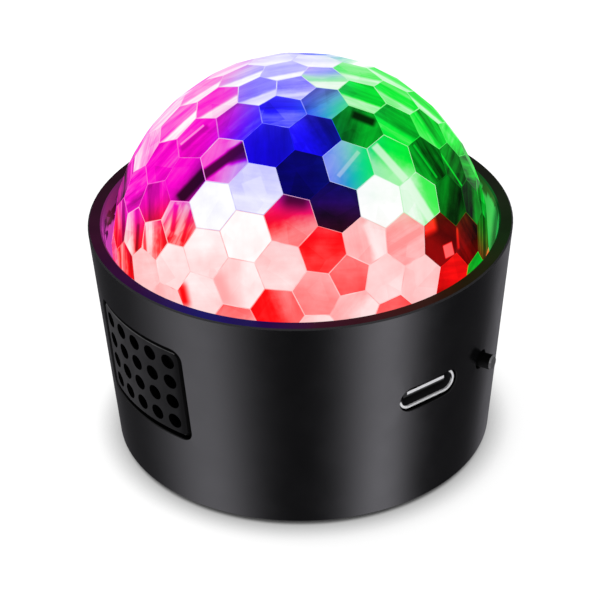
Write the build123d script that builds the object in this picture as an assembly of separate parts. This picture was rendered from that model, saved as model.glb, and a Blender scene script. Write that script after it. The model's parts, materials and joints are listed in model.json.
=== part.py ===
from build123d import *
import math
import os

# LED disco ball light: a tapered black cup with a faceted dome that turns in its mouth.
# Millimetres, +Z up. The origin is on the table, under the middle of the cup.
# Azimuth 0 is the front, towards -Y, and it grows towards +X. Angles are in degrees.

# Housing
foot_stand_off = 0.6            # table to the bottom edge of the housing
housing_height = 30.86
rim_radius = 27.5
bottom_radius = 24.84
wall = 1.8
edge_bevel = 0.2                # on the rim and the bottom edge
cut_overrun = 2.0               # how far a cutting tool runs past what it cuts

# Bottom cover, its screws and the feet
cover_thickness = 2.0
cover_rebate = 0.9              # step in the wall that the cover sits against
cover_gap = 0.12
cover_locating_height = 1.2
cover_locating_width = 1.2
cover_post_gap = 0.4            # locating ring to the screw posts
post_azimuths = (0, 120, 240)
post_inset = 3.3                # post axis inside the edge of the main board
post_radius = 2.5
rib_thickness = 1.6
foot_azimuths = (60, 180, 300)
foot_inset = 6.62               # foot axis inside the edge of the cover
foot_radius = 4.0
foot_sink = 1.0                 # depth of the recess that holds a foot
foot_recess_gap = 0.1

# Screws of one size hold the posts, another the small pieces
screw_shank_radius = 0.9
screw_head_radius = 1.8
screw_head_height = 1.2
screw_tip_gap = 2.22            # between the two screws that meet in a post
small_shank_radius = 0.7
small_head_radius = 1.35
small_head_height = 0.7
small_screw_length = 3.0
cross_width = 0.35              # width of the cross recess in a screw head
cross_depth_share = 0.55        # of the head height
head_bevel_share = 0.4          # of the head height
cross_span_share = 1.2          # of the head radius
pilot_gap = 0.02
pilot_end_gap = 0.3             # depth of a pilot hole past its screw
shank_gap = 0.15
head_gap = 0.15

# USB-C inlet
usb_azimuth = 37.3
usb_width = 8.94
usb_height = 3.26
usb_depth = 7.3
usb_axis_drop = 13.81           # below the rim
usb_shell_wall = 0.3
usb_slot_gap = 0.24             # shell to the slot in the wall
usb_recess = 0.8                # mouth behind the outside of the wall
usb_back_thickness = 1.6
tongue_width = 6.69
tongue_thickness = 0.7
tongue_mouth_gap = 0.6          # tip of the tongue behind the mouth
contact_count = 12
contact_spacing = 0.5
contact_width = 0.25
contact_thickness = 0.06
contact_tip_gap = 0.3
contact_end_gap = 1.0           # strips to the block that holds the tongue

# Main board
board_thickness = 1.0
board_button_gap = 0.45         # edge of the board to the button when it is pushed in
motor_hole_gap = 0.5
chip_sizes = ((5.0, 4.0, 1.5), (3.2, 3.0, 1.2), (4.0, 4.0, 1.8), (3.0, 1.6, 1.0))
chip_azimuths = (262, 292, 95, 120)
chip_edge_bevel = 0.12
chip_inset = 5.8                # chips inside the circle of the screw posts
capacitor_radius = 1.9
capacitor_height = 3.9
capacitor_azimuth = 150
capacitor_circle = 16.5
capacitor_bevel = 0.25

# Button and its switch
button_spacing = 10.42          # inlet to button along the outside of the wall
button_axis_above_board = 1.2
button_stem_radius = 0.99
button_hole_gap = 0.36
button_stand_out = 1.75         # past the outside of the wall
button_edge_bevel = 0.2
button_flange_radius = 2.0
button_flange_thickness = 0.8
button_flange_gap = 0.15        # flange to the spot face inside the wall
button_niche_gap = 0.3          # flange to the niche in the ledge
button_travel = 0.5
switch_width = 4.7
switch_depth = 3.4
switch_height = 3.1
switch_corner = 0.3
plunger_radius = 0.9
plunger_length = 1.4            # from the switch face to the flange
plunger_bore_gap = 0.08
plunger_end_gap = 0.2           # left behind the plunger when it is pushed in

# Sound grille and the microphone behind it
grille_azimuth = -53.1
grille_drop = 6.86              # top of the insert below the rim
grille_height = 13.3
grille_arc_angle = 36.5
grille_corner = 1.1
grille_thickness = 0.9
grille_recess = 0.15
grille_groove = 0.48            # groove round the insert
grille_ledge = 1.0              # width of the step that the insert sits on
grille_edge_bevel = 0.3
grille_columns = 5
grille_rows = 4
grille_column_angle = 6.83
grille_row_spacing = 3.12
grille_hole_radius = 1.05
mic_radius = 2.0
mic_length = 1.5
mic_boot_wall = 0.5
mic_boot_length = 3.0
mic_board_edge_gap = 0.2
mic_port_radius = 0.6
mic_port_depth = 0.3
mic_niche_gap = 0.4
grille_window_drop = 0.6        # top of the window below the LED board

# Battery
battery_height = 4.5
battery_post_gap = 1.8          # front of the cell to the front screw post
battery_motor_gap = 0.5         # back of the cell to the motor
battery_ring_gap = 2.05         # front corners of the cell to the locating ring
battery_corner = 1.6
battery_pad_thickness = 0.5
battery_pad_inset = 1.5

# LED board on its ledge
led_board_drop = 9.26           # top of the board below the rim
led_board_thickness = 1.0
led_board_gap = 0.3
ledge_width = 3.1
ledge_lip = 1.8                 # straight part of the ledge
led_screw_azimuths = (5, 125, 245)
led_screw_inset = 1.4           # screw axis in from the edge of the board
led_hub_hole_gap = 0.35
led_names = ("led_red", "led_green", "led_blue")
led_azimuths = (-30, 90, 210)
led_circle = 13.0
led_side = 5.0
led_base_height = 0.9
led_lens_radius = 2.1
led_lens_height = 0.85
led_corner = 0.4

# Motor, gearbox and output shaft
gearbox_height = 4.4
gearbox_radius = 6.5
gearbox_offset = 7.5            # output axis to motor axis, towards the back
gearbox_edge_bevel = 0.4
gearbox_collar_radius = 1.7
gearbox_collar_height = 0.6     # above the LED board
gearbox_ear_reach = 9.0
gearbox_ear_radius = 2.0
gearbox_ear_thickness = 1.6
motor_radius = 5.0
motor_length = 7.5
motor_edge_bevel = 0.5
motor_boss_radius = 1.8
motor_boss_height = 0.5
shaft_radius = 1.0
shaft_flat = 0.25               # depth of the flat that drives the hub
shaft_bore_gap = 0.05
shaft_sink = 3.4                # length held in the gearbox
shaft_top_gap = 0.6             # end of the shaft below the top of the hub

# Pin header between the boards
header_azimuth = 215
header_circle = 17.0
header_pins = 5
header_pin_spacing = 2.0
header_block_height = 2.2
header_block_depth = 2.2
header_pin_side = 0.5
header_pin_stand_out = 0.6
header_hole_gap = 0.15

# Dome: a ball of flat facets, cut off below its middle
dome_rim_gap = 1.39             # flat of a facet to the inside of the rim
dome_drop = 3.99                # centre of the ball below the rim
dome_skirt = 3.0                # cut edge below the centre
dome_wall = 1.8
facet_steps = 9                 # grid steps along an icosahedron side
facet_reach_angle = 32.0        # within which two facets can meet
side_slack = 1.2                # what still counts as one icosahedron side
pentagon_azimuth = 14.93
pentagon_tilt_angle = 19.6      # above the horizontal
pentagon_spin_angle = 39.25
lip_thickness = 1.2
lip_width = 2.6
lip_overlap = 0.8               # lip into the dome wall
dome_post_radius = 1.9
dome_post_height = 3.4

# Carrier between the dome and the shaft
carrier_thickness = 1.6
carrier_gap = 0.2
carrier_ring_width = 3.6
carrier_arm_width = 3.2
carrier_hub_radius = 3.4
carrier_hub_above = 2.4
carrier_hub_below = 1.0
carrier_azimuths = (60, 180, 300)
carrier_screw_inset = 1.9
carrier_edge_bevel = 0.3
hub_press_gap = 0.01

# Heights and radii worked out from the sizes above
z_bottom = foot_stand_off
z_rim = z_bottom + housing_height
z_cover_top = z_bottom + cover_thickness
z_usb = z_rim - usb_axis_drop
z_board_top = z_usb - usb_height / 2
z_board_low = z_board_top - board_thickness
z_button = z_board_top + button_axis_above_board
z_grille_high = z_rim - grille_drop
z_grille_low = z_grille_high - grille_height
z_grille = (z_grille_low + z_grille_high) / 2
z_led_top = z_rim - led_board_drop
z_led_low = z_led_top - led_board_thickness
z_dome = z_rim - dome_drop
z_skirt = z_dome - dome_skirt
z_carrier_top = z_skirt + carrier_thickness


def outer_radius(z):
    """Radius of the outside of the housing at a height."""
    share = (z - z_bottom) / housing_height
    return bottom_radius + (rim_radius - bottom_radius) * share


def inner_radius(z):
    """Radius of the inside of the housing wall at a height."""
    return outer_radius(z) - wall


led_board_radius = inner_radius(z_led_low) - led_board_gap
led_screw_circle = led_board_radius - led_screw_inset
ledge_radius = inner_radius(z_led_low) - ledge_width
cover_radius = bottom_radius - cover_rebate - cover_gap
cover_ring_radius = inner_radius(z_cover_top) - cover_gap
button_azimuth = usb_azimuth + math.degrees(button_spacing / outer_radius(z_button))
foot_circle = cover_radius - foot_inset
spot_face_radius = inner_radius(z_button)                       # behind the button
flange_radius_out = spot_face_radius - button_flange_gap        # outer face of its flange
flange_radius_in = flange_radius_out - button_flange_thickness
board_radius = flange_radius_in - button_travel - board_button_gap
post_circle = board_radius - post_inset
chip_circle = post_circle - chip_inset
switch_face_radius = flange_radius_in - plunger_length
contact_start = tongue_mouth_gap + contact_tip_gap              # behind the mouth of the inlet
contact_length = usb_depth - usb_back_thickness - contact_end_gap - contact_start
screw_length = (z_board_top - z_bottom - screw_head_height - screw_tip_gap) / 2
dome_inradius = rim_radius - wall - dome_rim_gap                # centre to the flat of a facet
skirt_inner_radius = math.sqrt((dome_inradius - dome_wall) ** 2 - dome_skirt ** 2)
carrier_radius = skirt_inner_radius - carrier_gap
carrier_screw_circle = carrier_radius - carrier_screw_inset


def spot(radius, azimuth, z):
    """Point at a radius, azimuth and height."""
    a = math.radians(azimuth)
    return Vector(radius * math.sin(a), -radius * math.cos(a), z)


def upright(radius, azimuth, z):
    """Place with Z up, its X sideways and its Y towards the axis of the light."""
    return Location(spot(radius, azimuth, z), (0, 0, azimuth))


def outward(radius, azimuth, z):
    """Plane that faces away from the axis of the light, with its Y up."""
    normal = spot(1, azimuth, 0)
    sideways = Vector(-normal.Y, normal.X, 0)
    return Plane(origin=spot(radius, azimuth, z), x_dir=sideways, z_dir=normal)


def peg(radius, height, place=Location()):
    """Cylinder that stands on its place."""
    return place * Cylinder(radius, height, align=(Align.CENTER, Align.CENTER, Align.MIN))


def slab(width, depth, height, place=Location()):
    """Block that stands on its place."""
    return place * Box(width, depth, height, align=(Align.CENTER, Align.CENTER, Align.MIN))


def turned(points):
    """Solid of revolution about Z from (radius, height) points."""
    outline = Polyline(*[(r, 0, z) for r, z in points], close=True)
    return revolve(make_face(outline), Axis.Z)


def screw(head_place, shank_radius, head_radius, head_height, length):
    """Pan-head screw whose shank runs down from its place and whose head is above."""
    head = peg(head_radius, head_height)
    head = chamfer(head.edges().group_by(Axis.Z)[-1], head_height * head_bevel_share)
    cross_depth = head_height * cross_depth_share
    span = head_radius * cross_span_share
    cross_low = Location((0, 0, head_height - cross_depth))
    head -= slab(span, cross_width, head_height, cross_low)
    head -= slab(cross_width, span, head_height, cross_low)
    shank = peg(shank_radius, length, Location((0, 0, -length)))
    return head_place * (head + shank)


def post_screw(place):
    return screw(place, screw_shank_radius, screw_head_radius, screw_head_height, screw_length)


def small_screw(place):
    return screw(place, small_shank_radius, small_head_radius, small_head_height,
                 small_screw_length)


def upside_down(place):
    return place * Location((0, 0, 0), (180, 0, 0))


def group(solids):
    """Several separate solids of one node."""
    return Compound(children=[s for part in solids for s in part.solids()])


def wall_band(front_depth, back_depth, low, high):
    """Ring that follows the taper between two depths behind the outside of the wall."""
    return turned([
        (outer_radius(low) - back_depth, low),
        (outer_radius(low) - front_depth, low),
        (outer_radius(high) - front_depth, high),
        (outer_radius(high) - back_depth, high),
    ])


def grille_prism(grow):
    """Rounded rectangle pushed out through the wall at the grille, grown on every side."""
    width = 2 * outer_radius(z_grille) * math.sin(math.radians(grille_arc_angle / 2))
    plane = outward(outer_radius(z_grille) / 2, grille_azimuth, z_grille)
    outline = plane * RectangleRounded(width + 2 * grow, grille_height + 2 * grow,
                                       grille_corner + grow)
    return extrude(outline, rim_radius)


def housing_shell():
    """Tapered cup with an inner ledge for the LED board and a rebate for the cover."""
    z_ledge_slope = z_led_low - ledge_lip - ledge_width
    shell = turned([
        (bottom_radius - cover_rebate, z_bottom),
        (bottom_radius, z_bottom),
        (rim_radius, z_rim),
        (rim_radius - wall, z_rim),
        (inner_radius(z_led_low), z_led_low),
        (ledge_radius, z_led_low),
        (ledge_radius, z_led_low - ledge_lip),
        (inner_radius(z_ledge_slope), z_ledge_slope),
        (inner_radius(z_cover_top), z_cover_top),
        (bottom_radius - cover_rebate, z_cover_top),
    ])
    circles = shell.edges().filter_by(GeomType.CIRCLE)
    rim_edges = circles.group_by(Axis.Z)[-1]
    bottom_edge = circles.group_by(Axis.Z)[0].sort_by(SortBy.RADIUS)[-1]
    return chamfer([*rim_edges, bottom_edge], edge_bevel)


def screw_post(azimuth):
    """Post from the cover to the main board, with a rib out to the wall."""
    height = z_board_low - z_cover_top
    post = peg(post_radius, height, upright(post_circle, azimuth, z_cover_top))
    rib_outer = inner_radius(z_cover_top) + wall / 2
    rib_middle = (post_circle + rib_outer) / 2
    post += slab(rib_thickness, rib_outer - post_circle, height,
                 upright(rib_middle, azimuth, z_cover_top))
    pilot = screw_shank_radius + pilot_gap
    return post - peg(pilot, height, upright(post_circle, azimuth, z_cover_top))


def make_housing():
    body = housing_shell()
    for azimuth in post_azimuths:
        body += screw_post(azimuth)
    for azimuth in led_screw_azimuths:
        depth = small_screw_length - led_board_thickness + pilot_end_gap
        body -= peg(small_shank_radius + pilot_gap, depth,
                    upright(led_screw_circle, azimuth, z_led_low - depth))
    body -= usb_slot()
    body -= button_hole()
    body -= grille_pocket()
    body -= microphone_niche()
    return body


def usb_slot():
    """Slot with full-round ends, through the wall and the ledge."""
    slot_height = usb_height + 2 * usb_slot_gap
    slot_width = usb_width + 2 * usb_slot_gap
    start = ledge_radius - cut_overrun
    slot = outward(start, usb_azimuth, z_usb) * SlotOverall(slot_width, slot_height)
    return extrude(slot, rim_radius + cut_overrun - start)


def button_hole():
    """Hole for the stem, and a niche in the ledge that ends in a spot face for the flange."""
    start = ledge_radius - cut_overrun
    plane = outward(start, button_azimuth, z_button)
    hole = extrude(plane * Circle(button_stem_radius + button_hole_gap),
                   rim_radius + cut_overrun - start)
    niche_radius = button_flange_radius + button_niche_gap
    return hole + extrude(plane * Circle(niche_radius), spot_face_radius - start)


def grille_pocket():
    """Pocket that takes the insert, and the window behind it, which ends below the LED board."""
    low = z_grille_low - grille_groove - grille_corner
    high = z_grille_high + grille_groove + grille_corner
    pocket_depth = grille_recess + grille_thickness
    pocket = wall_band(-cut_overrun, pocket_depth, low, high) & grille_prism(grille_groove)
    window_top = z_led_low - grille_window_drop
    window = wall_band(-cut_overrun, wall, low, window_top) & grille_prism(-grille_ledge)
    return pocket + window


def microphone_niche():
    """Gap in the ledge in front of the microphone."""
    start = board_radius - mic_board_edge_gap - mic_boot_length
    length = inner_radius(z_board_top) - start
    width = 2 * (mic_radius + mic_boot_wall + mic_niche_gap)
    return slab(width, length, z_led_low - z_board_top,
                upright(start + length / 2, grille_azimuth, z_board_top))


def make_base_cover():
    cover = peg(cover_radius, cover_thickness, Location((0, 0, z_bottom)))
    cover = chamfer(cover.edges().group_by(Axis.Z)[0], edge_bevel)
    ring = peg(cover_ring_radius, cover_locating_height, Location((0, 0, z_cover_top)))
    ring -= peg(cover_ring_radius - cover_locating_width, cover_locating_height,
                Location((0, 0, z_cover_top)))
    for azimuth in post_azimuths:
        clear = 2 * (post_radius + cover_post_gap)
        ring -= slab(clear, clear + cut_overrun, cover_locating_height,
                     upright(cover_ring_radius, azimuth, z_cover_top))
    cover += ring
    for azimuth in post_azimuths:
        place = upright(post_circle, azimuth, z_bottom)
        cover -= peg(screw_head_radius + head_gap, screw_head_height, place)
        cover -= peg(screw_shank_radius + shank_gap, cover_thickness, place)
    for azimuth in foot_azimuths:
        cover -= peg(foot_radius + foot_recess_gap, foot_sink,
                     upright(foot_circle, azimuth, z_bottom))
    return cover


def make_base_screws():
    head_low = z_bottom + screw_head_height
    return group([post_screw(upside_down(upright(post_circle, azimuth, head_low)))
                  for azimuth in post_azimuths])


def make_feet():
    feet = []
    for azimuth in foot_azimuths:
        foot = peg(foot_radius, foot_stand_off + foot_sink)
        foot = chamfer(foot.edges().group_by(Axis.Z)[0], foot_stand_off / 2)
        feet.append(upright(foot_circle, azimuth, 0) * foot)
    return group(feet)


def battery_outline():
    """Width, depth and middle Y of the cell, which lies between the front post and the motor."""
    back = gearbox_offset - motor_radius - battery_motor_gap
    front = post_radius + battery_post_gap - post_circle
    reach = cover_ring_radius - cover_locating_width - battery_ring_gap
    width = 2 * math.sqrt(reach ** 2 - front ** 2)
    return width, back - front, (front + back) / 2


def make_battery():
    width, depth, y = battery_outline()
    low = z_cover_top + battery_pad_thickness
    cell = slab(width, depth, battery_height, Location((0, y, low)))
    return fillet(cell.edges().filter_by(Axis.Y), battery_corner)


def make_battery_pad():
    width, depth, y = battery_outline()
    return slab(width - 2 * battery_corner - battery_pad_inset, depth - battery_pad_inset,
                battery_pad_thickness, Location((0, y, z_cover_top)))


def header_spots(z):
    """Places of the header pins, in a row square to the radius."""
    row = upright(header_circle, header_azimuth, z)
    first = -(header_pins - 1) / 2
    return [row * Location(((first + i) * header_pin_spacing, 0, 0)) for i in range(header_pins)]


def make_main_board():
    board = peg(board_radius, board_thickness, Location((0, 0, z_board_low)))
    for azimuth in post_azimuths:
        board -= peg(screw_shank_radius + shank_gap, board_thickness,
                     upright(post_circle, azimuth, z_board_low))
    board -= peg(motor_radius + motor_hole_gap, board_thickness,
                 Location((0, gearbox_offset, z_board_low)))
    for place in header_spots(z_board_low):
        side = header_pin_side + 2 * header_hole_gap
        board -= slab(side, side, board_thickness, place)
    return board


def make_main_board_screws():
    return group([post_screw(upright(post_circle, azimuth, z_board_top))
                  for azimuth in post_azimuths])


def make_board_chips():
    chips = []
    for (width, depth, height), azimuth in zip(chip_sizes, chip_azimuths):
        chip = slab(width, depth, height, upright(chip_circle, azimuth, z_board_top))
        chips.append(chamfer(chip.edges().group_by(Axis.Z)[-1], chip_edge_bevel))
    capacitor = peg(capacitor_radius, capacitor_height,
                    upright(capacitor_circle, capacitor_azimuth, z_board_top))
    chips.append(chamfer(capacitor.edges().group_by(Axis.Z)[-1], capacitor_bevel))
    return group(chips)


def usb_plane(behind_mouth):
    """Plane across the inlet at a depth behind its mouth, facing out."""
    return outward(outer_radius(z_usb) - usb_recess - behind_mouth, usb_azimuth, z_usb)


def make_usb_shell():
    shell = extrude(usb_plane(usb_depth) * SlotOverall(usb_width, usb_height), usb_depth)
    inside = SlotOverall(usb_width - 2 * usb_shell_wall, usb_height - 2 * usb_shell_wall)
    return shell - extrude(usb_plane(usb_depth) * inside, usb_depth)


def make_usb_tongue():
    inside = SlotOverall(usb_width - 2 * usb_shell_wall, usb_height - 2 * usb_shell_wall)
    block = extrude(usb_plane(usb_depth) * inside, usb_back_thickness)
    blade = usb_plane(usb_depth) * Rectangle(tongue_width, tongue_thickness)
    return block + extrude(blade, usb_depth - tongue_mouth_gap)


def make_usb_contacts():
    strips = []
    depth = contact_start + contact_length
    rise = (tongue_thickness + contact_thickness) / 2
    for side in (-1, 1):
        for i in range(contact_count):
            across = (i - (contact_count - 1) / 2) * contact_spacing
            strip = Pos(across, side * rise) * Rectangle(contact_width, contact_thickness)
            strips.append(extrude(usb_plane(depth) * strip, contact_length))
    return group(strips)


def make_mode_button():
    tip = outer_radius(z_button) + button_stand_out
    plane = outward(flange_radius_in, button_azimuth, z_button)
    stem = extrude(plane * Circle(button_stem_radius), tip - flange_radius_in)
    pushed_way = Axis(origin=(0, 0, 0), direction=spot(1, button_azimuth, 0))
    stem = chamfer(stem.edges().sort_by(pushed_way)[-1], button_edge_bevel)
    return stem + extrude(plane * Circle(button_flange_radius), button_flange_thickness)


def make_switch_body():
    body = slab(switch_width, switch_depth, switch_height,
                upright(switch_face_radius - switch_depth / 2, button_azimuth, z_board_top))
    body = chamfer(body.edges().group_by(Axis.Z)[-1], switch_corner)
    bore_depth = switch_depth / 2 + button_travel + plunger_end_gap
    plane = outward(switch_face_radius - bore_depth, button_azimuth, z_button)
    return body - extrude(plane * Circle(plunger_radius + plunger_bore_gap), bore_depth)


def make_switch_plunger():
    low = switch_face_radius - switch_depth / 2
    plane = outward(low, button_azimuth, z_button)
    return extrude(plane * Circle(plunger_radius), flange_radius_in - low)


def mic_axis_height():
    """Height of the microphone, whose boot stands on the main board."""
    return z_board_top + mic_radius + mic_boot_wall


def mic_plane(radius):
    return outward(radius, grille_azimuth, mic_axis_height())


def make_microphone_boot():
    outer_face = board_radius - mic_board_edge_gap
    boot_radius = mic_radius + mic_boot_wall
    plane = mic_plane(outer_face - mic_boot_length)
    boot = extrude(plane * Circle(boot_radius), mic_boot_length)
    boot += slab(2 * boot_radius, mic_boot_length, boot_radius,
                 upright(outer_face - mic_boot_length / 2, grille_azimuth, z_board_top))
    return boot - extrude(mic_plane(outer_face - mic_length) * Circle(mic_radius), mic_length)


def make_microphone():
    outer_face = board_radius - mic_board_edge_gap
    capsule = extrude(mic_plane(outer_face - mic_length) * Circle(mic_radius), mic_length)
    port = mic_plane(outer_face - mic_port_depth) * Circle(mic_port_radius)
    return capsule - extrude(port, mic_port_depth)


def make_sound_grille():
    """Curved insert cut from a ring that follows the taper, with its rows of holes."""
    back = grille_recess + grille_thickness
    band = wall_band(grille_recess, back, z_grille_low - grille_corner,
                     z_grille_high + grille_corner)
    panel = band & grille_prism(0)
    out_way = Axis(origin=(0, 0, 0), direction=spot(1, grille_azimuth, 0))
    front = panel.faces().filter_by(GeomType.CONE).sort_by(out_way)[-1]
    panel = chamfer(front.edges(), grille_edge_bevel)
    for column in range(grille_columns):
        azimuth = grille_azimuth + (column - (grille_columns - 1) / 2) * grille_column_angle
        for row in range(grille_rows):
            z = z_grille + (row - (grille_rows - 1) / 2) * grille_row_spacing
            plane = outward(inner_radius(z), azimuth, z)
            panel -= extrude(plane * Circle(grille_hole_radius), wall + cut_overrun)
    return panel


def make_led_board():
    board = peg(led_board_radius, led_board_thickness, Location((0, 0, z_led_low)))
    board -= peg(gearbox_collar_radius + led_hub_hole_gap, led_board_thickness,
                 Location((0, 0, z_led_low)))
    for azimuth in led_screw_azimuths:
        board -= peg(small_shank_radius + shank_gap, led_board_thickness,
                     upright(led_screw_circle, azimuth, z_led_low))
    for side in (-1, 1):
        board -= peg(small_shank_radius + shank_gap, led_board_thickness,
                     Location((side * gearbox_ear_reach, 0, z_led_low)))
    for place in header_spots(z_led_low):
        side = header_pin_side + 2 * header_hole_gap
        board -= slab(side, side, led_board_thickness, place)
    return board


def make_led_board_screws():
    return group([small_screw(upright(led_screw_circle, azimuth, z_led_top))
                  for azimuth in led_screw_azimuths])


def make_led(azimuth):
    """Square package with a domed silicone lens."""
    package = slab(led_side, led_side, led_base_height, upright(led_circle, azimuth, z_led_top))
    package = chamfer(package.edges().filter_by(Axis.Z), led_corner)
    ball_radius = (led_lens_radius ** 2 + led_lens_height ** 2) / (2 * led_lens_height)
    lens = Pos(0, 0, led_lens_height - ball_radius) * Sphere(ball_radius)
    lens &= peg(led_lens_radius, led_lens_height)
    return package + upright(led_circle, azimuth, z_led_top + led_base_height) * lens


def make_gearbox_case():
    low = z_led_low - gearbox_height
    length = gearbox_offset + 2 * gearbox_radius
    plane = Plane(origin=(0, gearbox_offset / 2, low), x_dir=(0, 1, 0), z_dir=(0, 0, 1))
    case = extrude(plane * SlotOverall(length, 2 * gearbox_radius), gearbox_height)
    case = chamfer(case.edges().group_by(Axis.Z)[0], gearbox_edge_bevel)
    for side in (-1, 1):
        ear_low = z_led_low - gearbox_ear_thickness
        case += peg(gearbox_ear_radius, gearbox_ear_thickness,
                    Location((side * gearbox_ear_reach, 0, ear_low)))
        case += slab(gearbox_ear_reach, 2 * gearbox_ear_radius, gearbox_ear_thickness,
                     Location((side * gearbox_ear_reach / 2, 0, ear_low)))
    collar = led_board_thickness + gearbox_collar_height
    case += peg(gearbox_collar_radius, collar, Location((0, 0, z_led_low)))
    case -= peg(shaft_radius + shaft_bore_gap, shaft_sink + collar,
                Location((0, 0, z_led_low - shaft_sink)))
    for side in (-1, 1):
        case -= peg(small_shank_radius + pilot_gap, gearbox_ear_thickness,
                    Location((side * gearbox_ear_reach, 0, z_led_low - gearbox_ear_thickness)))
    return case


def make_gearbox_screws():
    return group([small_screw(Location((side * gearbox_ear_reach, 0, z_led_top)))
                  for side in (-1, 1)])


def make_motor_can():
    top = z_led_low - gearbox_height
    can = peg(motor_radius, motor_length, Location((0, gearbox_offset, top - motor_length)))
    can = chamfer(can.edges().group_by(Axis.Z)[0], motor_edge_bevel)
    low = top - motor_length - motor_boss_height
    return can + peg(motor_boss_radius, motor_boss_height, Location((0, gearbox_offset, low)))


def make_output_shaft():
    low = z_led_low - shaft_sink
    high = z_carrier_top + carrier_hub_above - shaft_top_gap
    shaft = peg(shaft_radius, high - low, Location((0, 0, low)))
    flat_low = z_skirt - carrier_hub_below
    flat = slab(2 * shaft_radius, 2 * shaft_radius, high - flat_low,
                Location((0, -2 * shaft_radius + shaft_flat, flat_low)))
    return shaft - flat


def make_pin_header():
    pins = []
    low = z_board_low - header_pin_stand_out
    high = z_led_top + header_pin_stand_out
    for place in header_spots(low):
        pins.append(slab(header_pin_side, header_pin_side, high - low, place))
    return group(pins)


def make_header_block():
    place = upright(header_circle, header_azimuth, z_board_top)
    block = slab(header_pins * header_pin_spacing, header_block_depth, header_block_height, place)
    for pin_place in header_spots(z_board_top):
        block -= slab(header_pin_side, header_pin_side, header_block_height, pin_place)
    return block


def icosahedron():
    """Unit corners of an icosahedron with one corner up."""
    ring = math.atan(1 / 2)
    corners = [Vector(0, 0, 1), Vector(0, 0, -1)]
    for k in range(5):
        for azimuth, tilt in ((72 * k, ring), (72 * k + 36, -ring)):
            flat = spot(math.cos(tilt), azimuth, math.sin(tilt))
            corners.append(flat)
    return corners


def icosahedron_triangles():
    """Corner triples whose three sides are all one icosahedron side long."""
    corners = icosahedron()
    side = min((a - corners[0]).length for a in corners[1:])
    near = {(i, j) for i in range(12) for j in range(12)
            if i < j and (corners[i] - corners[j]).length < side * side_slack}
    return [(corners[i], corners[j], corners[k])
            for i, j in near for k in range(j + 1, 12) if (i, k) in near and (j, k) in near]


def facet_normals():
    """Outward directions of the facets: a triangular grid turned by 30 degrees on each side
    of an icosahedron gives hexagons, with a pentagon at each corner."""
    found = {}
    for a, b, c in icosahedron_triangles():
        for p in range(facet_steps + 1):
            for q in range(facet_steps + 1 - p):
                r = facet_steps - p - q
                if (p - q) % 3 == 0 and (q - r) % 3 == 0:
                    n = (a * p + b * q + c * r).normalized()
                    found[(round(n.X, 5), round(n.Y, 5), round(n.Z, 5))] = n
    tilt = 90 - pentagon_tilt_angle
    turn = Location((0, 0, 0), (0, 0, pentagon_azimuth)) * Location((0, 0, 0), (tilt, 0, 0))
    turn = turn * Location((0, 0, 0), (0, 0, pentagon_spin_angle))
    return [Vector(*(turn * Pos(n.X, n.Y, n.Z)).position) for n in found.values()]


def clipped(corners, normal):
    """Part of a flat polygon that lies behind the plane at distance 1 along the normal."""
    kept = []
    for here, after in zip(corners, corners[1:] + corners[:1]):
        height_here = here.dot(normal) - 1
        height_after = after.dot(normal) - 1
        if height_here <= 0:
            kept.append(here)
        if height_here * height_after < 0:
            kept.append(here + (after - here) * (height_here / (height_here - height_after)))
    return kept


def facet_corners(normal, others):
    """Corners of one facet of the ball whose facets all lie at distance 1."""
    plane = Plane(origin=normal, z_dir=normal)
    corners = [normal + plane.x_dir * x + plane.y_dir * y
               for x, y in ((-1, -1), (1, -1), (1, 1), (-1, 1))]
    for other in others:
        corners = clipped(corners, other)
    return corners


def faceted_ball(inradius):
    """Closed solid whose flat facets all lie at one distance from its centre."""
    normals = facet_normals()
    reach = math.cos(math.radians(facet_reach_angle))
    faces = []
    for normal in normals:
        others = [n for n in normals if reach < n.dot(normal) < 1 - 1e-9]
        corners = [c * inradius for c in facet_corners(normal, others)]
        faces.append(Face(Wire.make_polygon(corners, close=True)))
    return Pos(0, 0, z_dome) * Solid(Shell(faces))


def make_dome():
    """Hollow faceted ball cut off below its middle, with a lip and posts for its screws."""
    z_top = z_dome + 2 * dome_inradius
    keep = peg(2 * dome_inradius, z_top - z_skirt, Location((0, 0, z_skirt)))
    dome = (faceted_ball(dome_inradius) - faceted_ball(dome_inradius - dome_wall)) & keep
    lip_outer = math.sqrt((dome_inradius - dome_wall) ** 2 - (z_dome - z_carrier_top) ** 2)
    lip_place = Location((0, 0, z_carrier_top))
    lip = peg(lip_outer + lip_overlap, lip_thickness, lip_place)
    lip -= peg(lip_outer - lip_width, lip_thickness, lip_place)
    dome += lip
    for azimuth in carrier_azimuths:
        place = upright(carrier_screw_circle, azimuth, z_carrier_top)
        dome += peg(dome_post_radius, dome_post_height, place)
    for azimuth in carrier_azimuths:
        place = upright(carrier_screw_circle, azimuth, z_carrier_top)
        dome -= peg(small_shank_radius + pilot_gap, small_screw_length, place)
    return dome


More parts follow.
